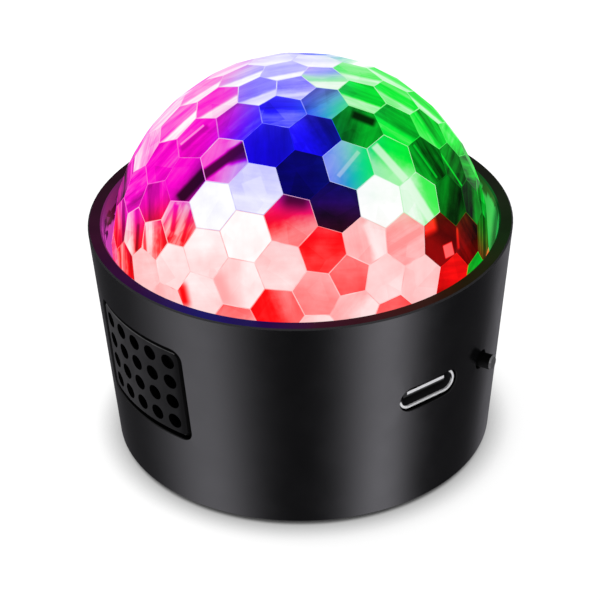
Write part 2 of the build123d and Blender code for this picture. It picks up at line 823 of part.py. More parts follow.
def make_dome_carrier():
    ring_place = Location((0, 0, z_skirt))
    carrier = peg(carrier_radius, carrier_thickness, ring_place)
    carrier -= peg(carrier_radius - carrier_ring_width, carrier_thickness, ring_place)
    for azimuth in carrier_azimuths:
        reach = carrier_radius - carrier_ring_width / 2
        carrier += slab(carrier_arm_width, reach, carrier_thickness,
                        upright(reach / 2, azimuth, z_skirt))
    hub_low = z_skirt - carrier_hub_below
    hub_height = carrier_hub_below + carrier_thickness + carrier_hub_above
    hub = peg(carrier_hub_radius, hub_height, Location((0, 0, hub_low)))
    carrier += chamfer(hub.edges().group_by(Axis.Z)[-1], carrier_edge_bevel)
    bore = peg(shaft_radius + hub_press_gap, hub_height, Location((0, 0, hub_low)))
    flat_front = -shaft_radius + shaft_flat - hub_press_gap
    bore -= slab(2 * carrier_hub_radius, carrier_hub_radius, hub_height,
                 Location((0, flat_front - carrier_hub_radius / 2, hub_low)))
    carrier -= bore
    for azimuth in carrier_azimuths:
        carrier -= peg(small_shank_radius + shank_gap, carrier_thickness,
                       upright(carrier_screw_circle, azimuth, z_skirt))
    return carrier


def make_carrier_screws():
    return group([small_screw(upside_down(upright(carrier_screw_circle, azimuth, z_skirt)))
                  for azimuth in carrier_azimuths])


def make_all():
    parts = {
        "housing": make_housing(),
        "base_cover": make_base_cover(),
        "base_screws": make_base_screws(),
        "rubber_feet": make_feet(),
        "battery": make_battery(),
        "battery_pad": make_battery_pad(),
        "main_board": make_main_board(),
        "main_board_screws": make_main_board_screws(),
        "board_chips": make_board_chips(),
        "usb_shell": make_usb_shell(),
        "usb_tongue": make_usb_tongue(),
        "usb_contacts": make_usb_contacts(),
        "mode_button": make_mode_button(),
        "switch_body": make_switch_body(),
        "switch_plunger": make_switch_plunger(),
        "microphone": make_microphone(),
        "microphone_boot": make_microphone_boot(),
        "sound_grille": make_sound_grille(),
        "led_board": make_led_board(),
        "led_board_screws": make_led_board_screws(),
        "gearbox_case": make_gearbox_case(),
        "gearbox_screws": make_gearbox_screws(),
        "motor_can": make_motor_can(),
        "output_shaft": make_output_shaft(),
        "pin_header": make_pin_header(),
        "header_block": make_header_block(),
        "dome": make_dome(),
        "dome_carrier": make_dome_carrier(),
        "carrier_screws": make_carrier_screws(),
    }
    for name, azimuth in zip(led_names, led_azimuths):
        parts[name] = make_led(azimuth)
    return parts


os.makedirs("parts", exist_ok=True)
for node, shape in make_all().items():
    export_step(shape, f"parts/{node}.step")
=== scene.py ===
import json
import math

import bmesh
import bpy
from mathutils import Matrix, Vector


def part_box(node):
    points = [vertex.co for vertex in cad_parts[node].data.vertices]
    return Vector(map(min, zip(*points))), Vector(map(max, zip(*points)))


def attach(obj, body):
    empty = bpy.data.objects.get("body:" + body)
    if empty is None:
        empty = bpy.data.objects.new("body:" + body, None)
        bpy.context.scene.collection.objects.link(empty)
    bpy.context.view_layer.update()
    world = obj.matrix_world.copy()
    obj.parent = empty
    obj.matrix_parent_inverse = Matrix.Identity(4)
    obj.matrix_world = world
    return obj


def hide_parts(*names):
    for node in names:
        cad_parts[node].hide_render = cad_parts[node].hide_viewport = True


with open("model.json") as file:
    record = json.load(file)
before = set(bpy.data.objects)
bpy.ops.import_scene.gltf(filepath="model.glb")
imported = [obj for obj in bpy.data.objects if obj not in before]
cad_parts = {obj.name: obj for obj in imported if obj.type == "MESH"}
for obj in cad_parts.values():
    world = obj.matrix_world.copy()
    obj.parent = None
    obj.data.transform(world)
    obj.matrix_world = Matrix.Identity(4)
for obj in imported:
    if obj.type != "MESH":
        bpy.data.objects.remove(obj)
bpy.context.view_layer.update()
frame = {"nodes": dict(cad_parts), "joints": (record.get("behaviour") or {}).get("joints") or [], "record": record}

# LED disco ball light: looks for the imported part. Metres, +Z up, the front towards -Y.
# Azimuth 0 is the front and grows towards +X. Angles are in degrees.


def named(rows, name):
    """The row of a list in the frame that has a name."""
    return next(row for row in rows if row["name"] == name)


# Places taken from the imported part
RIM_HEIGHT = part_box("housing")[1].z
RIM_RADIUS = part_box("housing")[1].x
FLOOR_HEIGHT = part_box("rubber_feet")[0].z
FOOT_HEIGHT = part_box("housing")[0].z
LED_BOARD_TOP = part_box("led_board")[1].z
DOME_CENTRE = Vector(named(frame["joints"], "dome_spin")["pos_m"])
CUP_TAPER = 0.0862       # how much the outside of the cup narrows per length down
CUT_DEPTH = 0.00012      # faces farther inside than this are cuts in the wall
CUT_LINE = 0.0002        # depth of the painted highlight line at the outside of a cut
RIM_SLACK = 0.00001      # how far below the top of the rim its flat may be
RIM_EDGE = 0.0004        # how far below it the bevel of the rim reaches
GRILLE_LEFT = -71        # azimuths of the sides of the grille
GRILLE_RIGHT = -35
GRILLE_SHADE = (1, 3.5)  # degrees from its right side between which a shade there fades
GRILLE_LINE = 0.00007    # depth of the painted highlight line round its face
MOUTH_SLOPE = 0.18       # of the line between the painted reflection and painted shade of the inlet's rim
MOUTH_LINE = 0.0005      # its height over the middle of the inlet
MOUTH_SOFT = 0.0002      # how far it fades to each side
MOUTH_LIP = 0.00025      # depth of the painted highlight lip inside it
TIP_LINE = -0.00008      # the tip of the tongue is painted bright, as lit, above this height on it,
TIP_LINE_SOFT = 0.00004  # fading this far to each side,
TIP_LEFT = -0.0027       # and right of this place,
TIP_LEFT_SOFT = 0.00006  # fading this far
TIP_DEPTH = 0.0002       # faces this near to its end are the tip
BUTTON_ROOT = 0.0012     # the button shows from this far inside the radius of the rim
LENS_HEIGHT = 0.0004     # of the lens of an LED that is seen to glow
STRAIGHT = 0.95          # cosine above which a face looks straight one way,
PARTLY = 0.4             # and above which it looks partly that way
BEVEL_SIDE = 0.3         # the same for a side of the bevel of the grille or button

# Camera, as the photograph was taken
CAMERA_DISTANCE = 0.35346  # from the middle of the base
CAMERA_ELEVATION = 34.52
CAMERA_PITCH = 2.453       # turned up from the middle of the base
CAMERA_YAW = 0.09
CAMERA_ROLL = 1.115
CAMERA_LENS = 156.17       # mm, on the default 36 mm sensor

# Dome facets
FACET_BEVEL = 0.00007       # width of the rounding along each edge
FACET_HALF_WIDTH = 0.1155   # middle of a facet to its side, at radius 1
SAME_POINT = 0.000001       # corners within this distance are one
SAME_PLANE = 0.5            # faces within this angle are one facet
FACET_DEPTH_SLACK = 0.0002  # facets lie within this depth of the outermost one

# Colours of the light, linear
MAGENTA = (1.0, 0.0, 0.62)
BLUE = (0.006, 0.0, 1.0)
GREEN = (0.0, 0.88, 0.035)
RED = (1.0, 0.003, 0.005)
SKY = (0.2, 0.16, 1.0)

# Where each colour is strongest on the dome: azimuth, elevation, colour. The LEDs stay in the
# base, so these places keep still while the dome turns.
LIGHT_LOBES = (
    (-78, 48, MAGENTA), (-125, 50, MAGENTA), (2, 57, BLUE), (-22, 60, BLUE), (-178, 55, BLUE),
    (-20, 87, SKY), (50, 51, GREEN), (95, 42, GREEN), (103, 16, GREEN), (125, 52, GREEN),
    (-78, -15, RED), (-35, 10, RED), (-8, 19, RED), (20, 10, RED), (42, 3, RED), (76, -18, RED),
    (130, -5, RED), (180, 0, RED), (-130, -5, RED),
)
LOBE_TIGHTNESS = 34.0

# How light each facet is: the azimuth and elevation that it faces; its lightness at the
# near and the far end of its bands; the way from far to near, in degrees as seen from the
# front, where 0 is right and -90 down; how strong its streaks are; and how soft the change.
# A lightness of 0 is black, 0.5 the full colour, and 1 white.
FACETS = (
    (-153, 73.5, 0.96, 0.88, -90, 0.1, 0.3), (153.6, 77.3, 0.97, 0.9, -90, 0.1, 0.3),
    (-130, 62.2, 0.93, 0.8, -70, 0.15, 0.3), (-121.7, 85.3, 0.98, 0.78, -80, 0.1, 0.1),
    (107.7, 71.2, 0.88, 0.66, -100, 0.2, 0.15), (-106.5, 72.4, 0.97, 0.75, -70, 0.15, 0.1),
    (77.6, 82.3, 0.95, 0.75, -90, 0.15, 0.1), (115.7, 57.3, 0.88, 0.6, -120, 0.2, 0.3),
    (-8.2, 82.4, 0.84, 0.62, -85, 0.2, 0.3), (-103.1, 59.1, 0.93, 0.74, -60, 0.2, 0.15),
    (-58.2, 76.5, 0.93, 0.63, -70, 0.15, 0.1), (67.6, 69.4, 0.78, 0.42, -110, 0.2, 0.1),
    (88.5, 59.4, 0.75, 0.55, -120, 0.25, 0.15), (-75.2, 64.9, 0.88, 0.57, -60, 0.15, 0.1),
    (27.5, 74.4, 0.54, 0.36, -60, 0.2, 0.4), (99.7, 46.9, 0.8, 0.46, -130, 0.3, 0.2),
    (-15, 72.1, 0.57, 0.48, -90, 0.2, 0.3), (-101.6, 45, 0.9, 0.82, -50, 0.25, 0.3),
    (-43.8, 64.2, 0.52, 0.44, -50, 0.15, 0.5), (-82.2, 51.1, 0.93, 0.6, -50, 0.3, 0.1),
    (64.3, 56.1, 0.54, 0.33, -120, 0.2, 0.15), (39.2, 62.4, 0.33, 0.19, -20, 0.15, 0.4),
    (80.1, 47, 0.6, 0.38, -150, 0.3, 0.2), (9.9, 62.8, 0.52, 0.22, -150, 0.12, 0.5),
    (-59.1, 53.3, 0.46, 0.54, -50, 0.2, 0.3), (90.3, 36.3, 0.38, 0.58, -20, 0.35, 0.2),
    (-17.1, 59.4, 0.43, 0.37, 180, 0.12, 0.5), (-85.9, 37.1, 0.72, 0.86, -10, 0.35, 0.3),
    (-37.6, 51.2, 0.74, 0.6, -20, 0.1, 0.4), (44.5, 48.4, 0.76, 0.46, -110, 0.05, 0.6),
    (62.7, 42, 0.29, 0.15, -150, 0.3, 0.3), (-68.3, 40.6, 0.48, 0.5, -45, 0.2, 0.3),
    (22.7, 51.3, 0.52, 0.68, -30, 0.05, 0.5), (75.6, 34.3, 0.13, 0.22, -20, 0.25, 0.2),
    (84.4, 27.2, 0.18, 0.3, -90, 0.35, 0.2), (1.8, 50.2, 0.13, 0.17, -90, 0.06, 0.5),
    (-50.6, 41.2, 0.3, 0.52, -40, 0.1, 0.4), (-88.3, 24, 0.52, 0.2, 0, 0.5, 0.3),
    (-18.1, 45.1, 0.94, 0.88, -100, 0.06, 0.15), (-74.1, 28.1, 0.46, 0.58, -60, 0.35, 0.3),
    (86, 16.9, 0.19, 0.26, 0, 0.45, 0.3), (47.5, 34.3, 0.93, 0.58, -165, 0.05, 0.5),
    (61.7, 28.6, 0.22, 0.08, 170, 0.1, 0.25), (74.4, 22.2, 0.26, 0.06, 0, 0.15, 0.3),
    (30.6, 38.3, 1.0, 0.98, -90, 0.02, 0.5), (-59.3, 30.2, 0.5, 0.4, 0, 0.25, 0.3),
    (-34.1, 37.3, 1.0, 0.99, 0, 0.02, 0.5), (13.4, 39.6, 0.08, 0.13, -90, 0.05, 0.4),
    (-3.1, 36.5, 0.7, 0.5, -70, 0.06, 0.4), (-76.7, 15, 0.4, 0.56, 0, 0.5, 0.3),
    (-45.4, 28.8, 0.6, 0.64, -30, 0.55, 0.3), (-64.1, 18.8, 0.84, 0.5, 180, 0.3, 0.3),
    (-18.8, 30.9, 1.0, 0.99, 0, 0.02, 0.5), (63, 15.3, 0.2, 0.09, -150, 0.12, 0.3),
    (75.2, 9.1, 0.17, 0.14, 0, 0.3, 0.3), (-53.3, 21.3, 0.5, 0.9, 0, 0.3, 0.4),
    (49.4, 21.2, 0.24, 0.13, -120, 0.05, 0.4), (35.7, 25.6, 0.81, 0.76, -60, 0.1, 0.1),
    (21.3, 28.2, 0.92, 0.79, 10, 0.05, 0.15), (7.5, 27.5, 0.57, 0.52, -90, 0.05, 0.5),
    (-31.7, 24.1, 0.92, 0.96, -90, 0.03, 0.5), (-43.4, 16.8, 0.89, 0.93, -90, 0.03, 0.5),
    (-66.7, 5.9, 0.38, 0.66, 0, 0.5, 0.3), (-6.3, 23.4, 0.9, 0.87, -90, 0.03, 0.5),
    (-54.4, 11, 0.86, 0.85, -90, 0.05, 0.5), (14.9, 19.6, 0.61, 0.66, -90, 0.04, 0.5),
    (64.3, 1.2, 0.46, 0.32, -30, 0.1, 0.6), (25.4, 16.7, 0.89, 0.87, -60, 0.02, 0.5),
    (51.2, 7.0, 0.33, 0.46, -80, 0.15, 0.3), (37.8, 12.4, 0.85, 0.85, 0, 0.02, 0.5),
    (-19.2, 17.6, 0.95, 0.88, 0, 0.03, 0.3), (4.9, 15.6, 0.71, 0.78, -100, 0.04, 0.5),
    (-31.9, 10.7, 0.9, 0.93, -90, 0.03, 0.5), (15.5, 9.2, 0.92, 0.8, -40, 0.05, 0.4),
    (-6.8, 10, 0.66, 0.49, 20, 0.05, 0.4), (-43.4, 3.7, 0.86, 0.82, 0, 0.03, 0.5),
    (-19.6, 3.4, 0.8, 0.66, -60, 0.04, 0.4), (4.2, 2.5, 0.92, 0.85, 0, 0.03, 0.5),
    (27.5, 3.7, 0.62, 0.72, 90, 0.05, 0.4), (87.7, 4.3, 0.3, 0.22, 0, 0.3, 0.3),
    (98.6, 12.2, 0.45, 0.35, 0, 0.3, 0.3), (95.7, 25, 0.55, 0.35, 0, 0.3, 0.2),
    (106.3, 34.4, 0.7, 0.5, -20, 0.3, 0.2), (119.2, 43.2, 0.85, 0.6, -20, 0.3, 0.2),
    (-90.4, 9.9, 0.35, 0.5, 0, 0.4, 0.3), (-102.3, 18.3, 0.6, 0.4, 0, 0.4, 0.3),
    (-100.8, 31.6, 0.66, 0.5, 0, 0.4, 0.3), (-115.1, 37.3, 0.8, 0.7, 0, 0.3, 0.3),
)
SAME_FACET = math.cos(math.radians(5.0))  # a row is for the facet that faces within 5 degrees

# Facets that bend the light from farther aside: where they face, and how far to the side (more
# azimuth) and up from there the colour that they show lies
LEANS = (
    (107.7, 71.2, 0, -12), (77.6, 82.3, 20, -3), (67.6, 69.4, 4, -12), (-75.2, 64.9, -8, -3),
    (27.5, 74.4, 4, -3), (-15, 72.1, 3, -7), (-43.8, 64.2, -4, -2), (64.3, 56.1, 4, -2),
    (39.2, 62.4, 10, -7), (9.9, 62.8, -9, 0), (-59.1, 53.3, -6, 0), (-37.6, 51.2, -13, 0),
    (22.7, 51.3, 1.5, -1), (1.8, 50.2, -4, 5), (-18.1, 45.1, -7, 5), (86, 16.9, 4, 19),
    (61.7, 28.6, 0, 9), (74.4, 22.2, 2, 15), (13.4, 39.6, -11, 2), (-3.1, 36.5, 0, -7),
    (-45.4, 28.8, -2, 0), (-59.3, 30.2, 2, -2), (75.2, 9.1, 0, 5), (84.4, 27.2, 4, 8),
    (75.6, 34.3, 3, 6), (49.4, 21.2, 0, -7), (35.7, 25.6, 0, -7), (-50.6, 41.2, -6, 0),
    (21.3, 28.2, 0, -6), (7.5, 27.5, 0, -9), (63, 15.3, -2, -2), (-18.8, 30.9, 0, -6),
    (-34.1, 37.3, 0, 6), (47.5, 34.3, 0, 8), (14.9, 19.6, 0, -4), (88.5, 59.4, 0, -6),
    (87.7, 4.3, 4, 26), (98.6, 12.2, 0, 22), (95.7, 25, 0, 12), (-90.4, 9.9, 0, 12),
    (-102.3, 18.3, 0, 14), (64.3, 1.2, 6, 26), (-64.1, 18.8, 2, 0),
)

# Bars of light and shade: where the facet faces that shows one; azimuth and elevation of the
# bar's two ends; half its width in degrees; its lightness; how strongly it covers; and how soft
# its sides are
STROKES = (
    (44.5, 48.4, 40.6, 54.6, 48.1, 27.6, 1.45, 0.89, 0.85, 0.35),
    (47.5, 34.3, 40.6, 54.6, 48.1, 27.6, 1.7, 0.93, 0.85, 0.35),
    (22.7, 51.3, 30.9, 54.4, 16.9, 48.5, 0.6, 0.86, 0.5, 0.4),
    (39.2, 62.4, 43, 66.5, 51.3, 60.4, 1.5, 0.03, 0.9, 0.55),
    (49.4, 21.2, 51.8, 18.6, 51.3, 14.6, 2.1, 0.68, 0.9, 0.15),
    (49.4, 21.2, 40, 26.7, 49.6, 26, 2.1, 0.66, 0.75, 0.6),
    (-50.6, 41.2, -40.6, 48.9, -48.3, 35.4, 2.1, 0.06, 0.95, 0.4),
    (-37.6, 51.2, -44, 43, -29, 58, 1.7, 0.1, 0.95, 0.45),
    (-37.6, 51.2, -36, 52.4, -25, 56, 2.3, 0.12, 0.9, 0.6),
    (-59.1, 53.3, -62.7, 47.6, -60.2, 58, 1.0, 0.32, 0.7, 0.6),
    (-59.1, 53.3, -65.4, 48.6, -63.4, 57.4, 0.45, 0.86, 0.6, 0.4),
    (-82.2, 51.1, -76.4, 46.6, -75.8, 56.4, 0.45, 0.98, 0.6, 0.4),
    (62.7, 42, 61, 48.4, 60.4, 36.6, 0.5, 0.5, 0.6, 0.5),
    (75.6, 34.3, 71.6, 40.4, 71.4, 28.4, 0.5, 0.6, 0.6, 0.5),
    (-53.3, 21.3, -60, 22.8, -55.4, 15.6, 0.8, 0.5, 0.85, 0.6),
    (-64.1, 18.8, -63.6, 21.6, -60.4, 14.3, 0.8, 0.26, 0.9, 0.6),
    (-45.4, 28.8, -48.6, 33.9, -46.3, 26.3, 0.9, 0.44, 0.8, 0.6),
    (-45.4, 28.8, -43.6, 35.2, -44.4, 25.8, 0.8, 0.84, 0.7, 0.7),
    (-45.4, 28.8, -41, 35, -41.1, 24.7, 0.7, 0.42, 0.7, 0.7),
    (63, 15.3, 58.1, 20.8, 56.2, 14.9, 0.7, 0.55, 0.7, 0.8),
    (-31.9, 10.7, -38.6, 13, -36.2, 6.4, 1.7, 0.48, 0.95, 0.9),
    (-19.2, 17.6, -26.6, 19.2, -22.2, 10.2, 2.4, 0.76, 0.8, 0.95),
    (21.3, 28.2, 22.9, 33.7, 25.5, 23, 1.2, 0.95, 0.6, 0.6),
    (35.7, 25.6, 28.4, 24.4, 42.7, 26.4, 1.0, 0.73, 0.75, 0.15),
    (-18.1, 45.1, -21, 47.6, -16.6, 42.4, 3.0, 0.95, 0.5, 0.1),
    (-3.1, 36.5, -7.0, 43.4, 4.0, 42.4, 2.8, 0.13, 0.95, 0.85),
)

# Inside a facet, the across and along of its bands are in half widths
STEP_PLACE = 0.4                 # where a sharp step lies; a soft one lies nearer the middle
STEP_REACH = 1.3                 # how far the softest step spreads to each side
STEP_WAVE = 0.9                  # how much the line of the softest step wanders
WAVE_SCALE = 30.0
STREAK_LEVEL = 2.2               # how much a full streak changes the lightness
STREAKS_ACROSS = 2.2             # streaks are fine across the bands and long along them
STREAKS_ALONG = 0.22
PATCH_SCALE = 0.8
PATCH_LEVEL = 0.02               # of the broken patches in a smooth facet
PATCH_GAIN = 0.16                # more of them where the streaks are strong
HAZE_SCALE = 9.0
HAZE_LEVEL = 0.12
DARK_POWER = 1.8                 # how fast a hue darkens, and washes out to white
WASH_POWER = 1.6
STREAK_SHIFT = (13.1, 7.7, 5.3)  # moves the streaks from facet to facet
GOLDEN_SHARE = 0.618034          # spreads the facets' own numbers evenly

# Lightness of the rounded edges by the mean lightness of the facet beside them
EDGE_LEVELS = ((0.0, 0.02), (0.25, 0.27), (0.5, 0.64), (0.65, 0.84), (0.88, 0.84), (1.0, 0.86))
EDGE_HAZE_SCALE = 14.0
EDGE_HAZE_LEVEL = 0.3

# Painted light spilled on the flat of the rim, by azimuth
RIM_GLOW = (
    (-180, (0.012, 0.006, 0.009)), (-110, (0.02, 0.005, 0.011)), (-75, (0.034, 0.004, 0.02)),
    (-50, (0.02, 0.001, 0.036)), (-28, (0.002, 0.001, 0.1)), (-12, (0.005, 0.001, 0.074)),
    (4, (0.028, 0.003, 0.014)), (25, (0.032, 0.002, 0.002)), (45, (0.015, 0.008, 0.002)),
    (75, (0.006, 0.019, 0.004)), (110, (0.01, 0.012, 0.007)), (180, (0.012, 0.006, 0.009)),
)

# Painted reflection of light on the inside of the cup: its colour by azimuth, and how strong
# # it is by how far below the rim, as a share of WALL_DEPTH, on the left and on the right
WALL_GLOW = (
    (-180, (0.02, 0.01, 0.08)), (-120, (0.3, 0.03, 0.26)), (-105, (0.56, 0.05, 0.38)),
    (-85, (0.56, 0.05, 0.42)), (-50, (0.1, 0.01, 0.1)), (20, (0.06, 0.01, 0.02)),
    (60, (0.01, 0.1, 0.02)), (94, (0.005, 0.12, 0.02)), (99, (0.032, 0.58, 0.09)),
    (120, (0.02, 0.3, 0.05)), (180, (0.02, 0.01, 0.08)),
)
WALL_DEPTH = 0.008
WALL_LEFT = ((0.0, 0.3), (0.22, 0.3), (0.27, 0.05), (0.38, 0.05), (0.43, 1.0))
WALL_RIGHT = ((0.0, 0.18), (0.15, 0.18), (0.22, 1.0))
WALL_JAG = 0.0014  # how far the borders between them wander

# Contact shadow on the floor: how open the sky is there, and how light the floor is for it
FLOOR_SHADE = (
    (0.18, 0.05), (0.3, 0.28), (0.4, 0.44), (0.46, 0.47), (0.61, 0.65), (0.86, 0.94), (1.0, 1.0))
SHADOW_REACH = 0.005
FLOOR_SIZE = 8.0
FLOOR_OWN_LIGHT = 0.86  # makes it white; the rest comes from the light on it
FLOOR_COLOUR = 0.3      # how much of that light it gives back

# Key lamp: a soft disk, by the azimuth and elevation where it stands
KEY_DIRECTION = (-125, 52)
KEY_DISTANCE = 0.8
KEY_SIZE = 0.35
KEY_POWER = 1.6

# Studio: even light on surfaces, and strips for gloss, which are weaker above: azimuth,
# strength, width to the left and to the right
SOFT_LIGHT = 0.7
GLOSS_LEVEL = 0.06
GLOSS_TINT = (0.94, 0.92, 1.0)
GLOSS_FADE = (-0.1, 0.35)  # the upward part of a direction, where they start to fade and end
GLOSS_ABOVE = 0.25         # what is left of them there
GLOSS_STRIPS = (
    (-60, 1.68, 30, 24), (50, 2.38, 22, 18), (150, 0.2, 15, 15), (180, 0.15, 20, 20),
    (-180, 0.1, 20, 20),
)

# Fine structure of the materials, as scales of noise
GRAIN_SCALE = 4200.0      # spark-eroded grain of moulded faces
SCRATCH_SCALE = 3000.0    # fine lines in metal
NOISE_RANGE = (0.3, 0.7)  # most of a noise lies between these


def spot(azimuth, elevation):
    """Unit vector towards an azimuth and elevation."""
    a, e = math.radians(azimuth), math.radians(elevation)
    return Vector((math.sin(a) * math.cos(e), -math.cos(a) * math.cos(e), math.sin(e)))


# Camera
def place_camera():
    camera = bpy.data.objects.new("camera", bpy.data.cameras.new("camera"))
    bpy.context.scene.collection.objects.link(camera)
    bpy.context.scene.camera = camera
    camera.data.lens = CAMERA_LENS
    camera.data.clip_start = 0.01
    camera.data.clip_end = 50.0
    back = spot(0, CAMERA_ELEVATION)
    right = Vector((1, 0, 0))
    up = right.cross(-back)
    turn = (Matrix.Rotation(math.radians(CAMERA_ROLL), 3, -back)
            @ Matrix.Rotation(math.radians(CAMERA_YAW), 3, up)
            @ Matrix.Rotation(math.radians(CAMERA_PITCH), 3, right))
    place = Matrix([turn @ right, turn @ up, turn @ back]).transposed().to_4x4()
    place.translation = back * CAMERA_DISTANCE + Vector((0, 0, FOOT_HEIGHT))
    camera.matrix_world = place


# Shader nodes
class Nodes:
    """Adds and joins nodes in the tree of its owner, a material or a world. Each call gives
    back an output to use next."""

    def __init__(self, owner):
        owner.use_nodes = True
        self.owner = owner
        self.tree = owner.node_tree
        self.tree.nodes.clear()

    def feed(self, socket, value):
        if isinstance(value, bpy.types.NodeSocket):
            self.tree.links.new(value, socket)
        else:
            if socket.type == "RGBA" and len(value) == 3:
                value = (*value, 1.0)
            socket.default_value = value

    def add(self, kind, settings=None, inputs=None):
        node = self.tree.nodes.new("ShaderNode" + kind)
        for name, value in (settings or {}).items():
            setattr(node, name, value)
        for name, value in (inputs or {}).items():
            self.feed(node.inputs[name], value)
        return node

    def math(self, operation, *values, clamp=False):
        settings = {"operation": operation, "use_clamp": clamp}
        return self.add("Math", settings, dict(enumerate(values))).outputs[0]

    def plus(self, a, b):
        return self.math("ADD", a, b)

    def minus(self, a, b):
        return self.math("SUBTRACT", a, b)

    def times(self, a, b):
        return self.math("MULTIPLY", a, b)

    def vector(self, operation, *values):
        node = self.add("VectorMath", {"operation": operation})
        for i, value in enumerate(values):
            self.feed(node.inputs["Scale"] if operation == "SCALE" and i else node.inputs[i], value)
        scalar = operation in ("DOT_PRODUCT", "LENGTH")
        return node.outputs["Value" if scalar else "Vector"]

    def dot(self, a, b):
        return self.vector("DOT_PRODUCT", a, b)

    def scale(self, vector, by):
        return self.vector("SCALE", vector, by)

    def axes(self, vector):
        return self.add("SeparateXYZ", inputs={0: vector}).outputs

    def join(self, x, y, z):
        return self.add("CombineXYZ", inputs={0: x, 1: y, 2: z}).outputs[0]

    def step(self, value, low, high, to_low=0.0, to_high=1.0):
        """Smooth step of a value from one level to another."""
        return self.add("MapRange", {"interpolation_type": "SMOOTHSTEP"}, {
            "Value": value, "From Min": low, "From Max": high,
            "To Min": to_low, "To Max": to_high}).outputs["Result"]

    def mix(self, share, a, b):
        """Colour between a and b."""
        return self.add("Mix", {"data_type": "RGBA"}, {0: share, 6: a, 7: b}).outputs[2]

    def between(self, share, a, b):
        """Number between a and b."""
        return self.add("Mix", {"data_type": "FLOAT"}, {0: share, 2: a, 3: b}).outputs[0]

    def noise(self, vector, scale, detail=2.0, roughness=0.5):
        values = {"Vector": vector, "Scale": scale, "Detail": detail, "Roughness": roughness}
        return self.add("TexNoise", inputs=values).outputs["Fac"]

    def cells(self, vector, scale):
        """Round cells: the Distance from their middles, and a Color for each."""
        return self.add("TexVoronoi", inputs={"Vector": vector, "Scale": scale}).outputs

    def ramp(self, share, stops):
        node = self.add("ValToRGB", inputs={"Fac": share})
        band = node.color_ramp
        while len(band.elements) < len(stops):
            band.elements.new(0.5)
        for element, (place, colour) in zip(band.elements, stops):
            element.position = place
            element.color = (*colour, 1.0)
        return node.outputs["Color"]

    def azimuth(self, position):
        """-180 to 180 round the upright axis, 0 at the front."""
        x, y, _ = self.axes(position)
        turn = self.math("ARCTAN2", x, self.times(y, -1.0))
        return self.times(turn, 180 / math.pi)

    def radius(self, position):
        """Distance from the upright axis."""
        return self.vector("LENGTH", self.vector("MULTIPLY", position, (1, 1, 0)))


def new_material(name):
    """Nodes of a new material, and the place on the object."""
    nodes = Nodes(bpy.data.materials.new(name))
    return nodes, nodes.add("TexCoord").outputs["Object"]


def principled(nodes, colour, roughness, **inputs):
    """Material with a principled shader; names of its other inputs have _ for spaces."""
    shader = nodes.add("BsdfPrincipled", inputs={"Base Color": colour, "Roughness": roughness})
    for name, value in inputs.items():
        nodes.feed(shader.inputs[name.replace("_", " ")], value)
    nodes.add("OutputMaterial", inputs={"Surface": shader.outputs[0]})
    return nodes.owner


def give(mesh, *materials):
    """Gives a mesh these materials alone."""
    mesh.materials.clear()
    for material in materials:
        mesh.materials.append(material)


def bump(nodes, height, distance, strength):
    node = nodes.add("Bump", inputs={"Height": height, "Distance": distance, "Strength": strength})
    return node.outputs["Normal"]


def grain(nodes, place, depth, strength=0.25):
    """Spark-eroded grain of a moulded face."""
    return bump(nodes, nodes.noise(place, GRAIN_SCALE), depth, strength)


def clouds(nodes, place, scale, low, high, detail=3.0):
    """A number that drifts between two levels in soft patches."""
    return nodes.step(nodes.noise(place, scale, detail), *NOISE_RANGE, low, high)


def shades(nodes, share, colour, spread):
    """A colour that drifts darker and lighter by a share of itself."""
    darker = [c * (1 - spread) for c in colour]
    lighter = [min(1.0, c * (1 + spread)) for c in colour]
    return nodes.mix(share, darker, lighter)


def grey(nodes, value, table):
    """Grey colour by a value from 0 to 1."""
    return nodes.ramp(value, [(share, (level,) * 3) for share, level in table])


# Dome
def lobe_colour(nodes, direction):
    """Colour of the light at a direction from the middle of the dome: a mean of the lobes, each
    counted by how near it is."""
    colours, weights = (0, 0, 0), 0
    for azimuth, elevation, colour in LIGHT_LOBES:
        near = nodes.dot(direction, spot(azimuth, elevation))
        reach = nodes.math("MULTIPLY_ADD", near, LOBE_TIGHTNESS, -LOBE_TIGHTNESS)
        weight = nodes.math("EXPONENT", reach)
        colours = nodes.vector("ADD", colours, nodes.scale(colour, weight))
        weights = nodes.plus(weights, weight)
    return nodes.scale(colours, nodes.math("DIVIDE", 1.0, weights))


def lit_colour(nodes, hue, lightness):
    """The hue darkened below a lightness of a half, and washed out to white above it."""
    darkness = nodes.math("MULTIPLY", lightness, 2.0, clamp=True)
    dark = nodes.scale(hue, nodes.math("POWER", darkness, DARK_POWER))
    wash = nodes.math("MULTIPLY_ADD", lightness, 2.0, -1.0, clamp=True)
    return nodes.mix(nodes.math("POWER", wash, WASH_POWER), dark, (1, 1, 1))


def direction_of(nodes, place):
    """Direction of a place from the middle of the dome."""
    return nodes.vector("NORMALIZE", nodes.vector("SUBTRACT", place, DOME_CENTRE))


def facet_value(nodes, name):
    return nodes.add("Attribute", {"attribute_name": "facet_" + name}).outputs["Vector"]


def leaning(nodes, direction):
    """A direction moved aside and up by the lean of the facet."""
    side, rise, _ = nodes.axes(facet_value(nodes, "lean"))
    east = nodes.vector("NORMALIZE", nodes.vector("CROSS_PRODUCT", (0, 0, 1), direction))
    north = nodes.vector("CROSS_PRODUCT", direction, east)
    aside = nodes.vector("ADD", direction, nodes.scale(east, side))
    return nodes.vector("NORMALIZE", nodes.vector("ADD", aside, nodes.scale(north, rise)))


def facet_hue(nodes):
    """Hue of the light behind a facet, by its place in the room, where the light stays."""
    place = nodes.add("NewGeometry").outputs["Position"]
    return lobe_colour(nodes, leaning(nodes, direction_of(nodes, place)))


